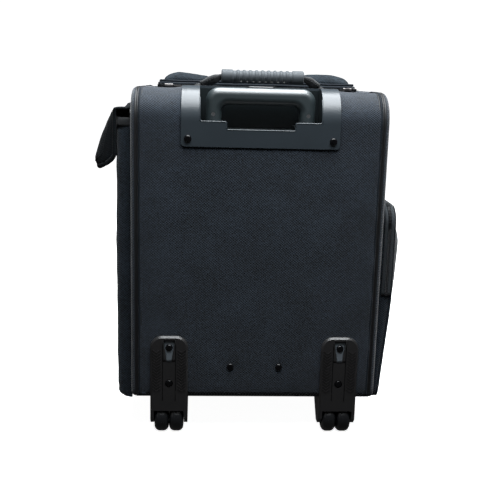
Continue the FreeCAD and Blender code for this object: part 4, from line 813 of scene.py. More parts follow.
def piping():
    """The corded seams down the back and front, and near-black cords beside them that stand for the shade in the
    grooves along their edges: painted shade.
    """
    rear = filleted([(BACK, BASE + 0.004, 0), (BACK, TOP, ROLL), (MOUTH_REAR, TOP, 0)])
    fore = filleted([(FRONT, BASE + 0.004, 0), (FRONT, TOP, BROW), (MOUTH_FRONT, TOP, 0)])
    cords, rows = [], []
    for sign in (-1, 1):
        for number, (route, turn) in enumerate(((rear, 1), (fore, -1))):
            route = even(route, 0.0035)
            out = facing(route) * turn
            centre = in_plane(route, sign * (SEAM - 0.0046)) - out * 0.0004
            centre = centre + out * (0.00018 * ripple(centre, 0.02, 20 + number))[:, None]
            cords.append(sweep(f"cord_{sign}_{number}", centre, out, oval(0.0015, 0.0013, 10)))
            # Near-black cords along each seam's edges: painted shade of the seam's grooves.
            for inset, radius in ((-0.0004, 0.0013), (0.0020, 0.0009), (0.0070, 0.0008)):
                beside = in_plane(route, sign * (SEAM - inset)) - out * 0.0002
                rows.append(sweep(f"row_{sign}_{number}", beside, out, oval(radius, 0.0005, 8)))
    finished(joined("edge_piping_cord", cords), "case", "piping", PIPING, "edge_piping")
    finished(joined("panel_stitching", rows), "case", "cover_fabric", SHADOW)


back_panel()
front_panel()
base_panel()
side_panel(-1)
side_panel(1)
piping()


# ---- left pocket and its flap -----------------------------------------------------------------------------

LEFT_LO, LEFT_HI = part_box("left_pocket")
RIGHT_LO, RIGHT_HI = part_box("right_pocket")
FRONT_LO, FRONT_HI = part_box("front_pocket")


def left_bag():
    """The open pocket: gussets, a belly and a bound mouth."""
    rear, front, foot, mouth = LEFT_LO.y, LEFT_HI.y, LEFT_LO.z, LEFT_HI.z
    deep = -SIDE - LEFT_LO.x
    corner = 0.008

    def outline(depth):
        reach = max(depth, 0.0022)
        radius = min(corner, reach * 0.8)
        return filleted([(-SIDE + SEWN_IN, rear, 0), (-SIDE - reach, rear, radius),
                         (-SIDE - reach, front, radius),
                         (-SIDE + SEWN_IN, front, 0)])

    rows = [(share * deep, foot) for share in (0.05, 0.35, 0.6)]
    rows += [(deep - corner * (1 - math.sin(t)), foot + corner * (1 - math.cos(t)))
             for t in np.linspace(0, 1, 6) * math.pi / 2]
    rows += [(deep, z) for z in np.linspace(foot + corner + 0.005, mouth, 72)]
    points = []
    for depth, z in rows:
        flat = even(outline(depth), 0.0001)
        pick = np.linspace(0, len(flat) - 1, 58).round().astype(int)
        points.append(np.column_stack([flat[pick], np.full(len(pick), z)]))
    points = np.array(points)
    out = lattice_out(points, (-1, 0, 0))
    y, z = points[..., 1], points[..., 2]
    open_y = np.clip(1 - ((y - (rear + front) / 2) / ((front - rear) / 2)) ** 2, 0, 1)
    up = np.clip((z - foot) / (mouth - foot), 0, 1)
    rise = 0.0052 * open_y ** 0.7 * np.sin(np.clip(up * 1.15, 0, 1) * math.pi) ** 0.6
    rise = rise + 0.0012 * ripple(points, 0.10, 30) * smooth_step(up, 0.03, 0.2)
    rise = rise + 0.0004 * ripple(points, 0.028, 31)
    rise = rise - 0.0014 * near_line(z, mouth - 0.0105, 0.0018) - 0.0010 * near_line(z, foot + 0.012, 0.003)
    on_face = smooth_step(-points[..., 0], SIDE + 0.001, SIDE + 0.008)
    points = points + out * (rise * on_face)[..., None]
    points[..., 0] = np.minimum(points[..., 0], -SIDE + SEWN_IN)
    made = thick(lattice("left_pocket_cloth", points, (-1, 0, 0)), 0.0019)
    finished(made, "case", "pocket_fabric", POCKET, "left_pocket")
    rim, rim_out = points[-1], out[-1]
    rim_out = unit(rim_out * np.array([1, 1, 0]))
    section = np.array([(-0.0052, 0.0006), (0.0052, 0.0006), (0.0062, -0.0009), (0.0052, -0.0026),
                        (-0.0052, -0.0026),
                        (-0.0060, -0.0009)])
    lip = sweep("left_pocket_binding", rim - np.array([0, 0, 0.004]), rim_out, section)
    lip.modifiers.new("smooth", "SUBSURF").levels = 1
    finished(settled(lip), "case", "webbing", WEBBING)
    row = rim - np.array([0, 0, 0.0072]) + rim_out * 0.0009
    low = points[-3] - np.array([0, 0, 0.0015]) + rim_out * 0.0004
    rows = [stitches("a", row[3:-3], rim_out[3:-3]), stitches("b", low[3:-3], rim_out[3:-3])]
    finished(joined("left_pocket_stitching", rows), "case", "pocket_fabric", THREAD)


def flap():
    """The flap over the left pocket: a bound, stitched sheet that stands out and hangs down."""
    lo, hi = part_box("left_flap")
    spine = curved([(-0.1676, 0.4408), (-0.1750, 0.4404), (-0.1860, 0.4396), (-0.1945, 0.4350),
                    (-0.2008, 0.4235),
                    (-0.2058, 0.4090), (-0.2100, 0.3940), (-0.2132, 0.3800), (-0.2140, 0.3710),
                    (-0.2110, 0.3620)],
                   0.002)
    length = float(np.linalg.norm(np.diff(spine, axis=0), axis=1).sum())
    along = np.linspace(0, length, len(spine))
    middle, wide = (lo.y + hi.y) / 2, (hi.y - lo.y) / 2
    columns, rows = 56, 36
    rounding, tucked = 0.020, -0.1892  # the lower corners' radius, and how near the case the ends curl
    s, t = np.meshgrid(np.linspace(-1, 1, columns), np.linspace(-1, 1, rows))
    p, q = rounded_square(s, t, (wide, length / 2), (rounding, rounding, 0.002, 0.002))
    down = np.clip(length / 2 - q, 0, length)

    def to_points(y, down, away):
        x, z = np.interp(down, along, spine[:, 0]), np.interp(down, along, spine[:, 1])
        slope = unit(np.column_stack([np.gradient(spine[:, 0]), np.gradient(spine[:, 1])]))
        nx, nz = np.interp(down, along, slope[:, 1]), -np.interp(down, along, slope[:, 0])
        bow = 1 - np.clip((y - middle) / wide, -1, 1) ** 4
        sag = 0.0035 * smooth_step(down, 0.03, length) * (1 - ((y - middle) / wide) ** 2)
        drop = 0.0060 * smooth_step(down, 0.002, 0.014) * (1 - smooth_step(down, 0.030, 0.060)) * bow
        x = x + nx * away - sag
        curl = np.clip((np.abs(y - middle) - (wide - rounding)) / rounding, 0, 1) ** 2
        x = x + curl * np.maximum(tucked - x, 0)
        return np.stack([x, y, z + nz * away - drop], axis=-1)

    plane = np.stack([p * 0, p, down], axis=-1)
    wavy = 0.0016 * ripple(plane, 0.07, 40) * smooth_step(down, 0.01, 0.06)
    sheet = to_points(p + middle, down, wavy)
    made = thick(lattice("left_flap_cloth", sheet, (-1, 0, 0.3)), 0.0021)
    finished(made, "flap", "flap_fabric", FLAP_SHADE_CLOTH, "left_flap")
    order = edge_order(rows, columns)
    outer = [k for k in order if t.ravel()[k] < 0.97]
    start = outer.index(min(outer, key=lambda k: (s.ravel()[k] < 0, -t.ravel()[k])))
    outer = outer[start:] + outer[:start]
    if abs(s.ravel()[outer[1]] - s.ravel()[outer[0]]) > 0.5:
        outer = outer[::-1]
        outer = outer[-1:] + outer[:-1]
    edge = sheet.reshape(-1, 3)[outer]
    out = lattice_out(sheet, (-1, 0, 0.3)).reshape(-1, 3)[outer]
    binding = sweep("left_flap_binding", edge - out * 0.00105, out, oval(0.0034, 0.0022, 10))
    finished(binding, "flap", "flap_fabric", FLAP_SHADE_CLOTH)
    p2, q2 = rounded_square(s.ravel()[outer], t.ravel()[outer], (wide - 0.0075, length / 2 - 0.0075),
                            (0.017, 0.017, 0.001, 0.001))
    row = to_points(p2 + middle, np.clip(length / 2 - q2, 0, length), 0.0006 + wavy.ravel()[outer])
    finished(stitches("left_flap_stitching", row, out), "flap", "flap_fabric", THREAD)
    ys = np.linspace(lo.y + 0.002, hi.y - 0.002, 40)
    strip = [(-0.16675, 0.4530), (-0.1670, 0.4475), (-0.1673, 0.4440), (-0.1690, 0.4420), (-0.1712, 0.4410)]
    tape = np.array([[(x - 0.0005, y, z + 0.0001) for y in ys] for x, z in curved(strip, 0.002)])
    tape_made = thick(lattice("left_flap_tape", tape, (-0.5, 0, 1)), 0.0007)
    tape_made.data.materials.append(WEBBING)
    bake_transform(tape_made)


left_bag()
flap()


# ---- right and front pockets ------------------------------------------------------------------------------

def pocket_zip(side, line, out, tape):
    """The tape and the teeth of a zipped pocket's zip, along line."""
    half_width = 0.0062
    ribbon = sweep(f"{side}_zip_tape", line, out, band(half_width, 0.0007))
    finished(ribbon, "case", "zip_tape", tape, f"{side}_pocket_zip")
    finished(zip_chain(f"{side}_zip_teeth", line + out * 0.0006, out), "case", "zip_tape", TEETH)


def right_bag():
    """The zipped pocket: a gusset, and a panel that bellies out above its seam."""
    rear, front, foot, top = RIGHT_LO.y, RIGHT_HI.y, RIGHT_LO.z, RIGHT_HI.z
    centre, half = rectangle(rear, front, foot, top)
    gusset = 0.0185
    rims = [(0.0, 0.0), (0.0, 0.0035), (-0.0012, 0.0065), (-0.0016, 0.009), (-0.0012, 0.0125),
            (0.0, gusset - 0.003),
            (0.0010, gusset - 0.0008), (0.0026, gusset)]

    def lift(p, q, s, t):
        inward = np.minimum(half[0] - np.abs(p - centre[0]), half[1] - np.abs(q - centre[1]))
        across = np.interp(p, [rear, rear + 0.018, rear + 0.050, 0.0, front - 0.045, front],
                           [0.0, 0.0085, 0.0180, 0.0305, 0.0215, 0.0])
        tall = np.interp(q, [foot, 0.080, 0.120, 0.159, 0.200, 0.235, 0.256, 0.276, 0.294, top],
                         [0.02, 0.16, 0.36, 0.55, 0.82, 0.97, 1.0, 0.84, 0.46, 0.0])
        plane = np.stack([np.full_like(p, SIDE), p, q], axis=-1)
        folds = 0.0016 * ripple(plane, 0.06, 50) + 0.0005 * ripple(plane, 0.02, 51)
        seam = -0.0016 * near_line(q, 0.159, 0.0022) - 0.0008 * near_line(q, 0.159, 0.008)
        return across * tall + (folds + seam) * smooth_step(inward, 0.0, 0.02)

    def share(q):
        return np.interp(q, [foot, 0.090, 0.130, 0.165, 0.190], [0.40, 0.58, 0.76, 0.92, 1.0])

    def shape(p, q, height):
        return np.stack([SIDE - SEWN_IN + height * share(q), p, q], axis=-1)

    made = pillow("right_pocket_cloth", centre, half, (0.010, 0.010, 0.022, 0.022), rims, lift, shape, 0.0045)
    smooth = made.modifiers.new("relax", "SMOOTH")
    smooth.factor, smooth.iterations = 0.5, 3
    made = thick(settled(made), CLOTH)
    finished(made, "case", "pocket_fabric", POCKET, "right_pocket")
    loop = rounded_loop(rear + 0.001, front - 0.001, foot + 0.001, top - 0.001, (0.009, 0.009, 0.021, 0.021))
    centre_line = np.column_stack([SIDE + gusset * share(loop[:, 1]) - 0.0004, loop])
    cord = sweep("right_pocket_piping", centre_line, (1, 0, 0), oval(0.0021, 0.0021, 8), closed=True)
    finished(cord, "case", "piping", PIPING)
    route = arch(rear, front, 0.196, top, 0.022)
    out3 = np.column_stack([np.zeros(len(route)), facing(route)[:, 1:]])
    middle = SIDE + 0.011
    line = in_plane(route, middle) + out3 * 0.0021
    pocket_zip("right", line, out3, SIDE_TAPE)
    rows = []
    for offset in (-0.0078, 0.0078):
        rows.append(stitches("row", in_plane(route, middle + offset) + out3 * 0.0019, out3))
    ys = np.linspace(rear + 0.006, front - 0.006, 60)
    for z in (0.1562, 0.1632):
        rows.append(surface_row("right_pocket_cloth", [(SIDE + 0.08, y, z) for y in ys], (-1, 0, 0)))
    finished(joined("right_pocket_stitching", rows), "case", "pocket_fabric", THREAD)


def surface_row(target, starts, direction):
    """A row of stitches laid on a piece, found by looking at it from starts along direction."""
    piece = bpy.data.objects[target]
    bpy.context.view_layer.update()
    hits, outs = [], []
    for start in starts:
        found, where, normal, _ = piece.ray_cast(Vector(start), Vector(direction))
        if found:
            hits.append(np.array(where) + np.array(normal) * 0.0003)
            outs.append(np.array(normal))
    return stitches("row", np.array(hits), np.array(outs))


def front_bag():
    """The large zipped pocket on the front panel."""
    left, right, foot, top = FRONT_LO.x, FRONT_HI.x, FRONT_LO.z, FRONT_HI.z
    centre, half = rectangle(left, right, foot, top)
    deep = 0.026
    rims = [(0.0, 0.0), (0.0, 0.003), (-0.0012, 0.008), (-0.0016, 0.013), (-0.0010, 0.019),
            (0.0006, deep - 0.003),
            (0.0020, deep - 0.0006), (0.0040, deep)]

    def lift(p, q, s, t):
        edge = 1 - np.maximum(np.abs(s), np.abs(t))
        plane = np.stack([p, np.full_like(p, FRONT), q], axis=-1)
        belly = 0.0085 * (1 - np.abs(s) ** 2.6) * (1 - np.abs(t + 0.12) ** 2.6 * 0.7)
        folds = 0.0018 * ripple(plane, 0.08, 60) + 0.0005 * ripple(plane, 0.022, 61)
        seam = -0.0014 * near_line(q, 0.318, 0.0022)
        return np.maximum(belly, 0) * smooth_step(edge, 0, 0.35) + (folds + seam) * smooth_step(edge, 0, 0.1)

    def shape(p, q, height):
        return np.stack([p, FRONT - SEWN_IN + height, q], axis=-1)

    made = pillow("front_pocket_cloth", centre, half, (0.030,) * 4, rims, lift, shape, 0.005)
    made = thick(made, CLOTH)
    finished(made, "case", "pocket_fabric", POCKET, "front_pocket")
    loop = rounded_loop(left + 0.0015, right - 0.0015, foot + 0.0015, top - 0.0015, (0.029,) * 4)
    line = np.column_stack([loop[:, 0], np.full(len(loop), FRONT + deep - 0.0008), loop[:, 1]])
    cord = sweep("front_pocket_piping", line, (0, 1, 0), oval(0.0021, 0.0021, 8), closed=True)
    finished(cord, "case", "piping", PIPING)
    route = arch(left, right, 0.206, top, 0.030)
    flat_out = facing(route)[:, 1:]
    out3 = np.column_stack([flat_out[:, 0], np.zeros(len(route)), flat_out[:, 1]])
    middle = FRONT + 0.013
    line = np.column_stack([route[:, 0], np.full(len(route), middle), route[:, 1]]) + out3 * 0.0021
    pocket_zip("front", line, out3, TAPE)
    rows = []
    for offset in (-0.0078, 0.0078):
        rows.append(stitches("row", line + np.array([0, offset, 0]) - out3 * 0.0002, out3))
    xs = np.linspace(left + 0.008, right - 0.008, 70)
    for z in (0.3145, 0.3215):
        rows.append(surface_row("front_pocket_cloth", [(x, FRONT + 0.1, z) for x in xs], (0, -1, 0)))
    finished(joined("front_pocket_stitching", rows), "case", "pocket_fabric", THREAD)


right_bag()
front_bag()


# ---- lid ----------------------------------------------------------------------------------------------------

LID_LO, LID_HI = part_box("lid_cover")
LID_PROFILE = [(-0.135, 0.0122), (-0.122, 0.0128), (-0.108, 0.0128), (-0.090, 0.0106), (-0.065, 0.0072),
               (-0.020, 0.0066), (0.030, 0.0092), (0.062, 0.0126), (0.092, 0.0146), (0.109, 0.0142),
               (0.122, 0.0122),
               (0.135, 0.0088)]


def lid_height(x):
    """How thick the lid's padding is across the lid: fuller at both ends than in the middle."""
    at, high = zip(*LID_PROFILE)
    return np.interp(x, at, high)


def swollen(made, cap, fixed_below):
    """Remeshes and smooths a closed mesh, and inflates it as stuffed cloth for a few frames. The inflation moves
    no point further than cap. Points under fixed_below are then lifted to it."""
    last_frame = 20
    remesh = made.modifiers.new("remesh", "REMESH")
    remesh.mode, remesh.voxel_size = "VOXEL", 0.0046
    soften = made.modifiers.new("soften", "SMOOTH")
    soften.factor, soften.iterations = 0.5, 6
    settled(made)
    before = np.array([v.co for v in made.data.vertices])
    cloth = made.modifiers.new("cloth", "CLOTH")
    cloth.settings.quality = 5
    cloth.settings.mass = 0.3
    cloth.settings.tension_stiffness = 18
    cloth.settings.bending_stiffness = 1.2
    cloth.settings.use_pressure = True
    cloth.settings.uniform_pressure_force = 4.0
    cloth.settings.effector_weights.gravity = 0
    cloth.point_cache.frame_start, cloth.point_cache.frame_end = 1, last_frame
    for step in range(1, last_frame + 1):
        bpy.context.scene.frame_set(step)
    settled(made)
    bpy.context.scene.frame_set(1)
    after = np.array([v.co for v in made.data.vertices])
    move = after - before
    size = np.linalg.norm(move, axis=1, keepdims=True)
    after = before + move * np.minimum(1, cap / np.maximum(size, 1e-9))
    after[:, 2] = np.maximum(after[:, 2], fixed_below)
    made.data.vertices.foreach_set("co", after.ravel())
    made.data.update()


def lid():
    """The padded lid and its corded seam."""
    low, centre = LID_LO.z + 0.0002, ((LID_LO.x + LID_HI.x) / 2, (LID_LO.y + LID_HI.y) / 2)
    half = ((LID_HI.x - LID_LO.x) / 2 - 0.0015, (LID_HI.y - LID_LO.y) / 2 - 0.0015)
    rims = [(0.004, 0.0), (0.0012, 0.0006), (0.0, 0.0018), (0.0008, 0.0030), (0.0030, 0.0042),
            (0.0065, 0.0050)]

    def lift(p, q, s, t):
        ring = 1 - np.maximum(np.abs(s), np.abs(t))
        return np.maximum(lid_height(p) - 0.0050, 0.0) * smooth_step(ring, -0.06, 0.06)

    def shape(p, q, height):
        return np.stack([p, q, low + height], axis=-1)

    made = pillow("lid_cover_cloth", centre, half, (0.016, 0.026, 0.012, 0.012), rims, lift, shape, 0.005)
    points, faces = [tuple(v.co) for v in made.data.vertices], [tuple(p.vertices) for p in made.data.polygons]
    count = 2 * (max(9, int(2 * (half[0] - 0.0065) / 0.005)) + max(9, int(2 * (half[1] - 0.0065) / 0.005))) - 4
    under = tuple(range(len(points) - count, len(points)))
    bpy.data.objects.remove(made)
    made = solid("lid_cover_cloth", points, [*faces, under])
    swollen(made, 0.0014, low)
    points = np.array([v.co for v in made.data.vertices])
    up = smooth_step(points[:, 2], low + 0.003, low + 0.010)
    wavy = 0.0009 * ripple(points, 0.045, 70) + 0.0004 * ripple(points, 0.016, 71)
    points[:, 2] += wavy * up
    x, y = points[:, 0], points[:, 1]
    quilt = near_line(x, -0.064, 0.003) + near_line(x, 0.070, 0.003)
    points[:, 2] -= 0.0014 * quilt * up
    rear = smooth_step(-y, 0.020, 0.043)
    points[:, 2] -= 0.0012 * rear * up * (1 - np.abs(x / LID_HI.x) ** 2)
    least = (LID_LO.x - 0.002, LID_LO.y - 0.002, low)
    most = (LID_HI.x + 0.002, LID_HI.y, LID_HI.z + 0.004)
    points = np.clip(points, least, most)
    made.data.vertices.foreach_set("co", points.ravel())
    made.modifiers.new("smooth", "SUBSURF").levels = 1
    settled(made)
    finished(made, "lid", "lid_fabric", LID, "lid_cover")
    cords = []
    for outset, height, radius in ((-0.0010, 0.0022, 0.0015), (0.0002, -0.0014, 0.0021)):
        loop = rounded_loop(LID_LO.x - outset, LID_HI.x + outset, LID_LO.y - outset, LID_HI.y,
                            (0.016, 0.024, 0.012, 0.012))
        cord = np.column_stack([loop, np.full(len(loop), low + height)])
        cord[:, 2] += 0.0003 * ripple(cord, 0.03, 72)
        cords.append(sweep("cord", cord, (0, 0, 1), oval(radius, radius, 8), closed=True))
    finished(joined("lid_piping", cords), "lid", "piping", PIPING)


def zip_tapes():
    """The two halves of the lid's zip: one on the case, one on the lid."""
    for name, body, node in (("mouth", "case", "mouth_zip"), ("lid", "lid", "lid_zip")):
        lo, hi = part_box(node)
        middle = 0.0058
        route = filleted([(lo.x + middle, hi.y, 0), (lo.x + middle, lo.y + middle, 0.0125),
                          (hi.x - middle, lo.y + middle, 0.0125), (hi.x - middle, hi.y, 0)])
        route = even(route, STEP)
        line = np.column_stack([route, np.full(len(route), (lo.z + hi.z) / 2)])
        section = band(0.0034, 0.0006, -0.0006)
        ribbon = sweep(f"{name}_zip_ribbon", line, (0, 0, 1), section)
        finished(ribbon, body, "zip_tape", TAPE, node)
        step = np.gradient(route, axis=0)
        out = unit(np.column_stack([step[:, 1], -step[:, 0], np.zeros(len(route))]))
        if float((out[len(out) // 2] * np.array([0, -1, 0])).sum()) < 0:
            out = -out
        edge = line + out * 0.0034
        places, outs = carried(edge, out, ZIP_PITCH)
        if name == "lid":
            places = places + unit(np.gradient(places, axis=0)) * (ZIP_PITCH / 2)
        teeth = copies(f"{name}_zip_row", places, np.gradient(places, axis=0), outs,
                       tooth(0.00085, 0.0022, 0.0012))
        finished(teeth, body, "zip_tape", TEETH)


def hinge_tape():
    """The cloth that joins the lid to the brow."""
    lo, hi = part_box("lid_hinge_tape")
    xs = np.linspace(lo.x, hi.x, 60)
    path = curved([(0.09985, 0.4535), (0.0990, 0.4592), (0.0966, 0.4642), (0.0930, 0.4672), (0.0900, 0.4688),
                   (HINGE_Y, 0.4712), (0.0884, 0.4735)], 0.0015)
    points = path_lattice(path, xs)
    points[..., 1] += 0.0006
    points[..., 2] += 0.0002 * ripple(points, 0.03, 80)
    made = thick(lattice("lid_hinge_cloth", points, (0, 1, 0.5)), 0.0007)
    made.data.materials.append(FLAP_SHADE_CLOTH)
    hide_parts("lid_hinge_tape")
    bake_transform(made)


lid()
zip_tapes()
hinge_tape()


# ---- carry handle -------------------------------------------------------------------------------------------

STRAP_LO, STRAP_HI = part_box("handle_strap")
GRIP_LO, GRIP_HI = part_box("handle_grip")
HANDLE_Y = (STRAP_LO.y + STRAP_HI.y) / 2
GRIP_Z = (GRIP_LO.z + GRIP_HI.z) / 2
AXIS_Z = STRAP_LO.z + 0.0042


def handle():
    """Rolled, padded webbing with a ribbed rubber grip, and its stitched anchors."""
    left, right = GRIP_LO.x, GRIP_HI.x
    route = curved([(-0.0790, HANDLE_Y, AXIS_Z + 0.0004), (-0.0730, HANDLE_Y, AXIS_Z + 0.0022),
                    (-0.0640, HANDLE_Y, GRIP_Z - 0.0044), (left - 0.002, HANDLE_Y, GRIP_Z - 0.0010),
                    (left + 0.010, HANDLE_Y, GRIP_Z), (right - 0.010, HANDLE_Y, GRIP_Z),
                    (right + 0.002, HANDLE_Y, GRIP_Z - 0.0010), (0.0690, HANDLE_Y, GRIP_Z - 0.0040),
                    (0.0760, HANDLE_Y, AXIS_Z + 0.0022), (0.0810, HANDLE_Y, AXIS_Z + 0.0004)], 0.0022)
    x = route[:, 0]
    outer = np.maximum(np.maximum(left - x, x - right), 0)
    bulk = 1.0 + 0.55 * smooth_step(outer, 0.001, 0.010) - 0.42 * smooth_step(outer, 0.014, 0.026)
    fold = oval(0.0058, 0.0040, 14)
    fold[:, 1] += 0.0009 * np.cos(np.arange(14) * 2 * math.pi / 14 * 2)
    core = sweep("handle_webbing", route, (0, 0, 1), fold, scale=np.column_stack([bulk * 0.95, bulk]))
    core.modifiers.new("smooth", "SUBSURF").levels = 1
    settled(core)
    points = np.array([v.co for v in core.data.vertices])
    points[:, 2] += 0.0005 * ripple(points, 0.012, 90)
    core.data.vertices.foreach_set("co", points.ravel())
    finished(core, "carry_handle", "webbing", WEBBING, "handle_strap")
    seam = route + np.array([0, -0.0058, 0]) * bulk[:, None] * 0.93
    keep = (outer > 0.004) & (outer < 0.022)
    rows = [stitches("row", seam[keep & (x < 0)], (0, -1, 0.1), 0.0036),
            stitches("row", seam[keep & (x > 0)], (0, -1, 0.1), 0.0036)]
    finished(joined("handle_stitching", rows), "carry_handle", "webbing", THREAD)
    count = 221
    along = np.linspace(left, right, count)
    middle, pitch = (left + right) / 2, 0.0082
    phase = (along - middle) / pitch
    inside = np.abs(along - middle) < 4.55 * pitch
    ribs = np.where(inside, np.clip(1.6 * np.cos(phase * 2 * math.pi) + 0.35, 0, 1), 0)
    collars = smooth_step(np.abs(along - middle), (right - left) / 2 - 0.0158, (right - left) / 2 - 0.0150)
    radius = 0.0081 + 0.0013 * ribs + 0.0014 * collars
    tip = np.minimum(along - left, right - along)
    radius = radius - 0.0016 * np.clip(1 - tip / 0.0016, 0, 1) ** 2
    line = np.column_stack([along, np.full(count, HANDLE_Y), np.full(count, GRIP_Z)])
    sleeve = sweep("handle_rubber_grip", line, (0, 0, 1), oval(1.04, 0.97, 28),
                   scale=np.column_stack([radius, radius]))
    finished(sleeve, "carry_handle", "handle_rubber", RUBBER, "handle_grip")
    # Pale dots in the grooves between the ribs: painted light, standing for bright spots there rather than parts
    # of the grip.
    spots = [middle + (k + 0.5) * pitch for k in range(-4, 4)]
    ball = capsule(0.0026, 0.0011)
    places = [(x, HANDLE_Y - 0.0053, GRIP_Z - 0.0062) for x in spots]
    dots = copies("handle_grip_studs", places, np.tile([1.0, 0, 0], (8, 1)), (0, -0.65, -0.76), ball)
    finished(dots, "carry_handle", "handle_rubber", PAINTED_LIGHT_DOTS)
    for sign in (-1, 1):
        anchor(sign)


def anchor(sign):
    """A webbing patch sewn to the case at one end of the handle."""
    lo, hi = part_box("handle_anchors")
    inner, outer = 0.0690, hi.x
    label = "left" if sign < 0 else "right"
    xs, ys = np.linspace(inner, outer, 14), np.linspace(lo.y, hi.y, 12)
    grid_x, grid_y = np.meshgrid(xs, ys)
    hump = np.exp(-((grid_y - HANDLE_Y) / 0.0048) ** 2) * (1 - smooth_step(grid_x, 0.082, 0.090))
    edge = np.minimum(np.minimum(grid_x - inner, outer - grid_x), np.minimum(grid_y - lo.y, hi.y - grid_y))
    height = 0.0018 + 0.0042 * hump - 0.0012 * seam_fall(edge, 0.0012)
    points = np.stack([sign * grid_x, grid_y, TOP + height], axis=-1)
    patch = thick(lattice(f"handle_anchor_{label}", points, (0, 0, 1)), THIN_CLOTH)
    finished(patch, "case", "webbing", WEBBING, "handle_anchors")
    a, b, c, d = inner + 0.002, outer - 0.002, lo.y + 0.002, hi.y - 0.002
    rows = []
    for path in (((a, c), (b, c), (b, d), (a, d)), ((b - 0.010, c), (b, d)), ((b - 0.010, d), (b, c))):
        flat = even(np.array(path + path[:1] if len(path) > 2 else path), 0.001)
        hump = np.exp(-((flat[:, 1] - HANDLE_Y) / 0.0048) ** 2) * (1 - smooth_step(flat[:, 0], 0.082, 0.090))
        row = np.column_stack([sign * flat[:, 0], flat[:, 1], TOP + 0.0019 + 0.0042 * hump])
        rows.append(stitches("row", row, (0, 0, 1), 0.0032))
    finished(joined(f"anchor_stitching_{label}", rows), "case", "webbing", THREAD)


handle()


# ---- trolley details ----------------------------------------------------------------------------------------

def spring():
    """The release button's return spring, pressed flat with the button."""
    lo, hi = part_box("button_spring")
    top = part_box("push_rods")[1].z - 0.0052
    radius, turns = 0.0030, 4.5
    turn = np.linspace(0, turns, 120)
    rise = lo.z + 0.0004 + (top - lo.z - 0.0008) * turn / turns
    centre_y = (lo.y + hi.y) / 2
    path = np.column_stack([radius * np.cos(turn * 2 * math.pi),
                            centre_y + radius * np.sin(turn * 2 * math.pi), rise])
    made = sweep("release_spring_coil", path, (0, 0, 1), oval(0.00035, 0.00035, 8))
    finished(made, "trolley_upper", "steel", STEEL, "button_spring")
    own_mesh(made)


def bezel_lip():
    """The rounded bead along the lower edge of the bezel's window and its finger notch."""
    side, high, notch, low = 0.0785, 0.4262, 0.0445, 0.4162
    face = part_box("trolley_bezel")[0].y
    route = filleted([(-side, high + 0.030, 0), (-side, high, 0.003), (-notch, high, 0.002),
                      (-notch, low, 0.002),
                      (notch, low, 0.002), (notch, high, 0.002), (side, high, 0.003),
                      (side, high + 0.030, 0)])
    route = even(route, 0.0012)
    over, outside = np.maximum(route[:, 1] - (TOP - ROLL), 0), ROLL + BACK - face
    forward = outside - np.sqrt(outside ** 2 - over ** 2)
    line = np.column_stack([route[:, 0], face + 0.0006 + forward, route[:, 1]])
    bead = sweep("bezel_lip", line, (0, -1, 0), oval(0.0009, 0.0009, 8))
    finished(bead, "case", "bezel_plastic", BEZEL)


def caster_details():
    """In each caster plate, a tongue on the sunken ramp between two wedges that narrow it, coloured far lighter
    than the housing as a painted highlight, and a near-black strip down each side of the plate: painted groove
    shade."""
    rear, deep, wide_half, foot_half, top, foot = -0.1320, 0.0030, 0.0082, 0.0034, 0.1358, 0.1052
    share = np.linspace(0, 1, 9)
    rise = top + (foot - top) * share
    half = wide_half - 0.0002 - (wide_half - foot_half) * smooth_step(share, -0.15, 1.15)
    sink = deep * (1 - share)
    for label, middle in (("left", -0.1155), ("right", 0.1155)):
        parts = []
        for sign in (-1, 1):
            outer = np.full(9, wide_half + 0.0001)
            across = np.stack([outer, outer, half + 0.0005, half + 0.0001, half], axis=1)
            depth = np.stack([sink + 0.0004, sink * 0, sink * 0, sink * 0 + 0.0005, sink + 0.0004], axis=1)
            points = np.stack([middle + sign * across, rear + depth, np.repeat(rise[:, None], 5, axis=1)],
                              axis=-1)
            faces = lattice_faces(9, 5, wrap=True) + [(4, 3, 2, 1, 0), (40, 41, 42, 43, 44)]
            wedge = solid("wedge", points.reshape(-1, 3), faces)
            if sign > 0:
                wedge.data.flip_normals()
            parts.append(wedge)
        finished(joined(f"caster_cheeks_{label}", parts), "case", "housing_plastic", HOUSING)
        t = np.linspace(-1, 1, 7)
        # The tongue, in the far lighter material: a painted highlight.
        tongue = np.stack([middle + half[:, None] * t, np.repeat((rear + sink - 0.0002)[:, None], 7, axis=1),
                           np.repeat(rise[:, None], 7, axis=1)], axis=-1)
        made = thick(lattice(f"caster_tongue_{label}", tongue, (0, -1, 0)), 0.0005)
        finished(made, "case", "housing_plastic", TONGUE_HIGHLIGHT)
        # Near-black strips down the plate's sides: painted shade of its grooves.
        lines = []
        for sign in (-1, 1):
            z = np.linspace(top, 0.050, 12)
            line = np.column_stack([np.full(12, middle + sign * 0.0086), np.full(12, rear + 0.0002), z])
            lines.append(sweep("crease", line, (0, -1, 0), oval(0.0006, 0.0004, 8)))
        finished(joined(f"caster_creases_{label}", lines), "case", "housing_plastic", GROOVE_SHADE)


spring()
bezel_lip()
caster_details()


# ---- floor, light and camera --------------------------------------------------------------------------------

def floor():
    """A pale round floor that curves up into a pale wall far away. It shines only towards the camera."""
    run = filleted([(0.0, 0.0, 0), (5.0, 0.0, 1.8), (5.0, 5.0, 0)])
    run = even(run, 0.25)
    turns = np.linspace(0, 2 * math.pi, 73)
    points = np.stack([run[:, None, 0] * np.cos(turns), run[:, None, 0] * np.sin(turns),
                       np.broadcast_to(run[:, None, 1], (len(run), len(turns)))], axis=-1)
    made = lattice("studio_floor", points, (0, 0, 1))
    made.data.materials.append(floor_paint())
    made.visible_diffuse = False
    made.visible_glossy = False


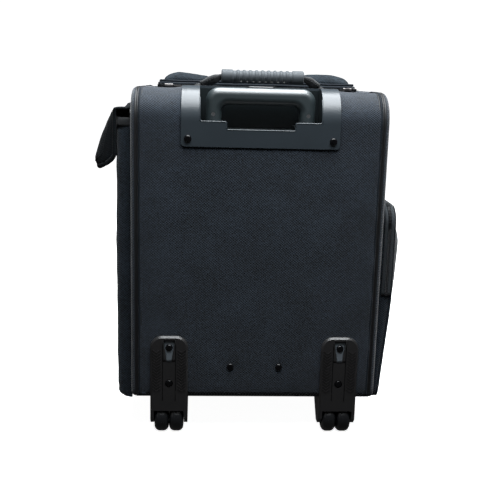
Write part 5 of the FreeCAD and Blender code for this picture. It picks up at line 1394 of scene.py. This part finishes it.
def area_light(name, place, target, size, power, colour=(1, 1, 1)):
    """A rectangular light that the camera doesn't see."""
    light = bpy.data.lights.new(name, "AREA")
    light.shape, light.size, light.size_y = "RECTANGLE", size[0], size[1]
    light.energy, light.color = power, colour
    made = bpy.data.objects.new(name, light)
    bpy.context.scene.collection.objects.link(made)
    made.visible_camera = False
    made.location = place
    made.rotation_euler = (Vector(target) - Vector(place)).to_track_quat("-Z", "Y").to_euler()


def camera():
    """The camera, where a least-squares fit to the photograph puts it."""
    yaw, pitch, roll = math.radians(3.35), math.radians(12.08), math.radians(1.54)
    distance, target = 1.0553, Vector((-0.01014, -0.126, 0.25971))
    look = Vector((math.sin(yaw) * math.cos(pitch), math.cos(yaw) * math.cos(pitch), -math.sin(pitch)))
    right = Vector((math.cos(yaw), -math.sin(yaw), 0))
    up = right.cross(look)
    right_tilted = right * math.cos(roll) + up * math.sin(roll)
    up_tilted = up * math.cos(roll) - right * math.sin(roll)
    lens = bpy.data.cameras.new("camera")
    lens.lens, lens.sensor_width = 57.6, 36.0
    lens.clip_start, lens.clip_end = 0.05, 50
    made = bpy.data.objects.new("camera", lens)
    bpy.context.scene.collection.objects.link(made)
    turn = Matrix((right_tilted, up_tilted, -look)).transposed()
    made.matrix_world = Matrix.Translation(target - look * distance) @ turn.to_4x4()
    bpy.context.scene.camera = made


def world():
    """A faint white light from all round."""
    made = bpy.data.worlds.new("studio")
    bpy.context.scene.world = made
    made.use_nodes = True
    sky = made.node_tree.nodes["Background"]
    sky.inputs["Color"].default_value = (1.0, 1.0, 1.0, 1.0)
    sky.inputs["Strength"].default_value = 0.045


floor()
world()
area_light("overhead", (0.05, -0.06, 1.75), (0.05, -0.06, 0.45), (1.3, 1.4), 84, (0.93, 0.97, 1.0))
area_light("front_top", (0.12, -0.58, 1.15), (0.02, -0.126, 0.46), (0.9, 0.3), 8.5, (0.93, 0.97, 1.0))
area_light("low_strip", (0.05, -1.5, 1.0), (0, -0.13, 0.15), (0.7, 0.10), 0.2, (0.95, 0.98, 1.0))
area_light("key", (1.2, -0.6, 1.6), (0, -0.05, 0.3), (0.8, 0.8), 0.8)
area_light("fill", (-1.6, -1.2, 0.9), (0, 0, 0.25), (1.2, 1.2), 0.5)
camera()
bpy.context.scene.view_settings.view_transform = "Standard"
